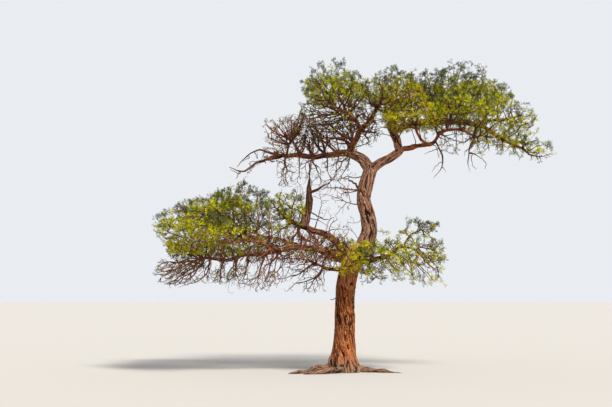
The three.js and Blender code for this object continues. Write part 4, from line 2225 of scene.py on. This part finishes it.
# Masses and boxes whose twigs end stouter than elsewhere, and their radius there in metres.
STOUT_ENDS = {"mass_left_shoulder": 0.0056, "below_top_left": 0.006}
# Boxes of twigs outside the masses.
FIELDS = tuple(
    TwigField(*row)
    for row in (
        ("under_left_arm", "left_shoulder", (-1.55, -0.4, 3.9), (0.15, 0.4, 4.8), 520),
        ("along_left_arm", "left_shoulder", (-1.8, -0.4, 4.7), (0.3, 0.5, 5.2), 450, 0.05, (-0.4, 0, 0.2)),
        ("by_the_snag", "low_left", (-0.55, -0.4, 3.1), (0.25, 0.4, 4.5), 120),
        ("beside_the_snag", "low_left", (-1.5, -0.5, 3.4), (-0.9, 0.4, 3.95), 150, 0.6, UPWARD, 0.6),
        ("below_top_left", "top_left", (-1.0, -0.75, 5.15), (0.8, 0.75, 6.0), 1900, 0.08),
        ("under_far_arm", "far_right", (2.1, -0.6, 4.9), (4.3, 0.5, 5.3), 120, 0.14, (0.4, 0, -0.1), 0.3),
        ("between_the_tops", "top_centre", (1.5, -0.5, 6.3), (2.35, 0.5, 6.75), 170, 0.7, UPWARD, 0.85),
        ("before_the_centre", "top_centre", (0.9, -0.8, 5.35), (2.1, -0.1, 5.85), 420, 0.9, UPWARD, 0.5),
        ("before_far_bough", "top_right", (1.9, -0.7, 5.35), (3.3, 0.0, 5.85), 420, 0.75, UPWARD, 0.4),
        ("over_far_bough", "far_right", (2.9, -0.6, 5.05), (4.2, 0.5, 5.6), 320, 0.6, (0.35, 0, 0), 0.5),
        ("over_boughs", "low_left_bare", (-2.2, -0.9, 2.4), (0.1, 0.7, 3.05), 3000, 0.02, (-0.35, 0, 0)),
        ("before_boughs", "low_left_bare", (-2.9, -0.75, 2.4), (-0.1, -0.3, 2.9), 900, 0.03, (-0.3, 0, 0)),
        ("at_the_fork", "low_left_bare", (-0.4, -0.65, 2.2), (0.1, -0.2, 2.95), 260, 0.06),
        ("on_the_fork", "low_right", (-0.2, -0.8, 2.1), (0.65, -0.35, 2.85), 170, 0.8, UPWARD, 0.5),
        ("underside", "low_left_depth", (-3.9, -0.8, 2.55), (-1.7, 0.7, 3.0), 900, 0.85, (-0.3, 0, 0), 0.55),
        ("tail_twigs", "low_left_bare", (-4.1, -0.45, 1.95), (-2.3, 0.4, 2.55), 380, 0.1, (-0.5, 0, -0.25)),
        ("hanging", "low_left_bare", (-2.6, -0.4, 1.75), (-0.4, 0.4, 2.4), 130, 0.05, (-0.4, 0, -0.2)),
        ("low_right_twigs", "low_right", (0.35, -0.5, 1.95), (2.2, 0.5, 2.9), 330, 0.3, (0.3, 0, 0), 0.3),
        ("before_low_right", "low_right", (0.3, -0.65, 2.2), (1.6, -0.15, 2.8), 190, 0.8, (0.3, 0, 0), 0.5),
        ("behind_the_centre", "top_centre", (0.35, 0.6, 6.2), (1.25, 2.0, 6.6), 150, 0.8, UPWARD, 0.85),
        ("behind_the_right", "top_right", (1.95, 0.7, 6.2), (2.65, 2.1, 6.65), 140, 0.8, UPWARD, 0.85),
        ("over_low_right", "low_right", (0.85, -0.4, 2.8), (1.95, 0.3, 3.1), 55, 0.6, (0.3, 0, 0.1), 0.6),
        ("by_the_tip", "low_right", (1.35, -0.25, 3.12), (2.15, 0.2, 3.4), 26, 0.7, (0.5, 0, 0.1), 0.8),
    )
)
# Middles of the yellowest leaves and how far they spread, in metres.
GOLDEN = (
    ((1.5, -0.4, 5.75), (0.9, 0.9, 0.5)),
    ((-0.05, -0.4, 2.4), (0.5, 0.6, 0.5)),
)
# The same for leaves that get more painted light than others, but stay as green.
BRIGHT = (((-2.6, -0.5, 3.2), (1.5, 1.2, 0.4)),)
# The dead twigs that stand clear of the crown.
SPRIGS = tuple(
    Sprig(*row)
    for row in (
        ("dead_drooper_inner", 0.014, ((1.99, 5.05), (2.08, 4.93), (2.1, 4.71)), -0.12),
        ("dead_drooper_inner", 0.012, ((2.06, 4.92), (1.94, 4.88), (1.79, 4.82)), 0.1),
        ("dead_drooper_inner", 0.012, ((2.19, 5.02), (2.4, 4.95)), -0.14),
        ("dead_drooper_inner", 0.012, ((2.22, 4.91), (2.32, 4.89), (2.42, 4.82)), 0.15),
        ("dead_drooper_inner", 0.01, ((2.19, 4.48), (2.24, 4.37)), -0.06),
        ("dead_drooper_inner", 0.01, ((2.12, 4.6), (2.0, 4.5), (1.96, 4.4)), 0.1),
        ("bough_right_outer", 0.014, ((2.24, 5.22), (2.5, 5.24), (2.82, 5.2)), -0.25),
        ("bough_right_outer", 0.016, ((2.24, 5.2), (2.51, 5.09), (2.69, 5.02)), -0.2),
        ("bough_right_outer", 0.012, ((2.49, 5.06), (2.475, 4.85), (2.51, 4.75)), -0.15),
        ("dead_drooper_outer", 0.013, ((2.82, 4.79), (2.78, 4.61), (2.88, 4.42)), -0.08),
        ("dead_drooper_outer", 0.014, ((2.82, 4.79), (3.07, 4.59), (3.07, 4.42)), -0.15),
        ("dead_drooper_outer", 0.012, ((2.82, 4.79), (2.96, 4.81), (3.12, 4.78)), 0.15),
        ("dead_drooper_outer", 0.01, ((2.84, 4.95), (2.7, 4.86), (2.66, 4.75)), 0.1),
        ("bare_arm_low", 0.014, ((-2.35, 4.44), (-2.46, 4.47), (-2.55, 4.53)), -0.1),
        ("bare_arm_low", 0.012, ((-2.38, 4.45), (-2.46, 4.32)), 0.1),
        ("bare_arm_high", 0.012, ((-2.17, 4.88), (-2.26, 4.86), (-2.35, 4.81)), 0.1),
        ("bare_arm_high", 0.011, ((-1.86, 4.88), (-1.91, 4.8)), -0.1),
        ("bare_arm_high", 0.012, ((-1.98, 4.86), (-2.0, 5.02)), -0.08),
        ("bare_arm_low", 0.012, ((-2.15, 4.7), (-2.02, 4.73), (-1.88, 4.74)), -0.2),
        ("trunk", 0.02, ((-0.12, 1.6), (-0.29, 1.6)), -0.03),
        ("trunk", 0.042, ((0.36, 4.1), (0.28, 4.2), (0.12, 4.3)), -0.05),
        ("bough_left", 0.02, ((0.33, 4.86), (0.3, 4.98)), -0.06),
        ("bough_left", 0.018, ((0.4, 4.8), (0.38, 4.9)), -0.06),
        ("snag", 0.055, ((-0.98, 3.3), (-1.02, 3.12), (-0.93, 2.98), (-0.74, 2.9)), -0.06),
        ("snag", 0.045, ((-0.84, 3.2), (-0.72, 3.04), (-0.55, 2.93)), -0.05),
        ("snag", 0.02, ((-0.71, 3.56), (-0.55, 3.47), (-0.35, 3.4), (-0.21, 3.44)), -0.25),
        ("snag", 0.013, ((-0.62, 3.42), (-0.51, 3.35), (-0.33, 3.23)), -0.2),
        ("low_bough_left", 0.016, ((-0.5, 3.1), (-0.19, 3.17), (0.12, 3.15)), -0.3),
        ("snag", 0.018, ((-0.9, 3.52), (-1.09, 3.65), (-1.34, 3.65), (-1.52, 3.53)), -0.25),
        ("snag", 0.013, ((-1.0, 3.58), (-1.27, 3.74), (-1.52, 3.96)), -0.3),
        ("snag_arm", 0.012, ((-0.34, 4.22), (-0.19, 4.3), (0.0, 4.16), (0.12, 3.96)), -0.1),
        ("bough_left_upright", 0.013, ((0.51, 5.45), (0.8, 5.47), (1.05, 5.45)), -0.15),
        ("bough_right_upright", 0.024, ((0.98, 5.85), (1.27, 6.14), (1.5, 6.28), (1.86, 6.3)), -0.35),
    )
)
# The limbs whose bark has the deepest relief.
STOUT_LIMBS = {
    "trunk", "root_left", "root_front_left", "root_right", "bough_left", "bough_right",
    "bough_right_upright", "low_bough_left", "low_bough_long", "low_bough_right",
}
# Swellings and hollows on them; the last number of a hollow is how much painted shade darkens it.
KNOTS = (
    Knot((0.66, -0.02, 3.12), 0.12, 0.03),
    Knot((0.56, -0.04, 2.97), 0.06, -0.02, 0.7),
    Knot((-0.3, -0.14, 0.22), 0.17, 0.045),
    Knot((-0.22, -0.31, 0.13), 0.055, -0.05, 0.95),
    Knot((-0.1, -0.36, 0.15), 0.05, -0.045, 0.95),
)


def report_size() -> None:
    """Brings the scene up to date."""
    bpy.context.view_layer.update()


def main() -> None:
    """Builds the tree piece by piece."""
    masses_of = [name for part in CROWN_PARTS.values() for name in part]
    slot_of = {row["node"]: row["material_slot"] for row in frame["record"]["subparts"]}
    wood = {name: node for name, node in frame["nodes"].items() if not name.startswith("mass_")}
    dead = {name for name in wood if slot_of[name] == Slot.DEAD_WOOD.value}
    skeleton = Skeleton().read(wood, dead)
    skeleton.swell("snag", foot=1.9, tip=1.0)
    limbs = skeleton.limbs
    living = [limb for limb in limbs.values() if not limb.dead]
    stout = [limb for limb in living if limb.name in STOUT_LIMBS]
    slender = [limb for limb in living if limb.name not in STOUT_LIMBS]
    dry = [limbs[name] for name in sorted(dead)]
    BarkSkin("trunk_and_boughs", stout, LIVE_BARK, Slot.BARK, knots=KNOTS).build()
    BarkSkin("upper_boughs", slender, LIVE_BARK, Slot.BARK, voxel=0.013, lump=0.26, lump_size=0.13).build()
    BarkSkin("dead_limbs", dry, DEAD_BARK, Slot.DEAD_WOOD, voxel=0.009, lump=0.2, lump_size=0.1).build()

    masses = [
        Mass.of_node(name, frame["nodes"][name], slot_of[name] == Slot.BARE_TWIGS.value)
        for name in masses_of
    ]
    crown = Crown()
    crown.spread_targets(masses, FIELDS)
    growing = [limb for limb in living if not limb.name.startswith("root")]
    crown.grow(growing, bare_foot=2.1)
    crown.thicken()
    part_of = [part for part, names in CROWN_PARTS.items() for _ in names] + [box.part for box in FIELDS]
    runs = crown.chains()
    twigs = TwigWork(TwigTubes())
    SprigWork(twigs.recipe, BRANCH_BARK).build("dead_twigs", SPRIGS, limbs)
    sprays = Foliage().sow(crown, masses, FIELDS)
    kit = SprayKit()
    leaves = LeafWork(SprayScatter(kit.kinds), kit.build())
    spray_part = np.array(part_of)[sprays["part"]]
    for part, names in CROWN_PARTS.items():
        bare = all(slot_of[name] == Slot.BARE_TWIGS.value for name in names)
        own = [run for run in runs if part_of[crown.part[run[-1]]] == part]
        slot = Slot.BARE_TWIGS if bare else Slot.BARK
        # The upper crown's twigs take the darker copy of their bark, as painted shade.
        finish = TWIG_BARK if bare or part.startswith("low") else SHADED_TWIG_BARK
        twigs.build(f"twigs_{part}", finish, crown, own, slot, list(names))
        rows = np.flatnonzero(spray_part == part)
        leaves.build(f"leaves_{part}", sprays, rows, [] if bare else list(names))
    for spare in list(leaves.kit.objects):
        bpy.data.objects.remove(spare)
    Stage().build()
    report_size()


if __name__ == "__main__":
    main()
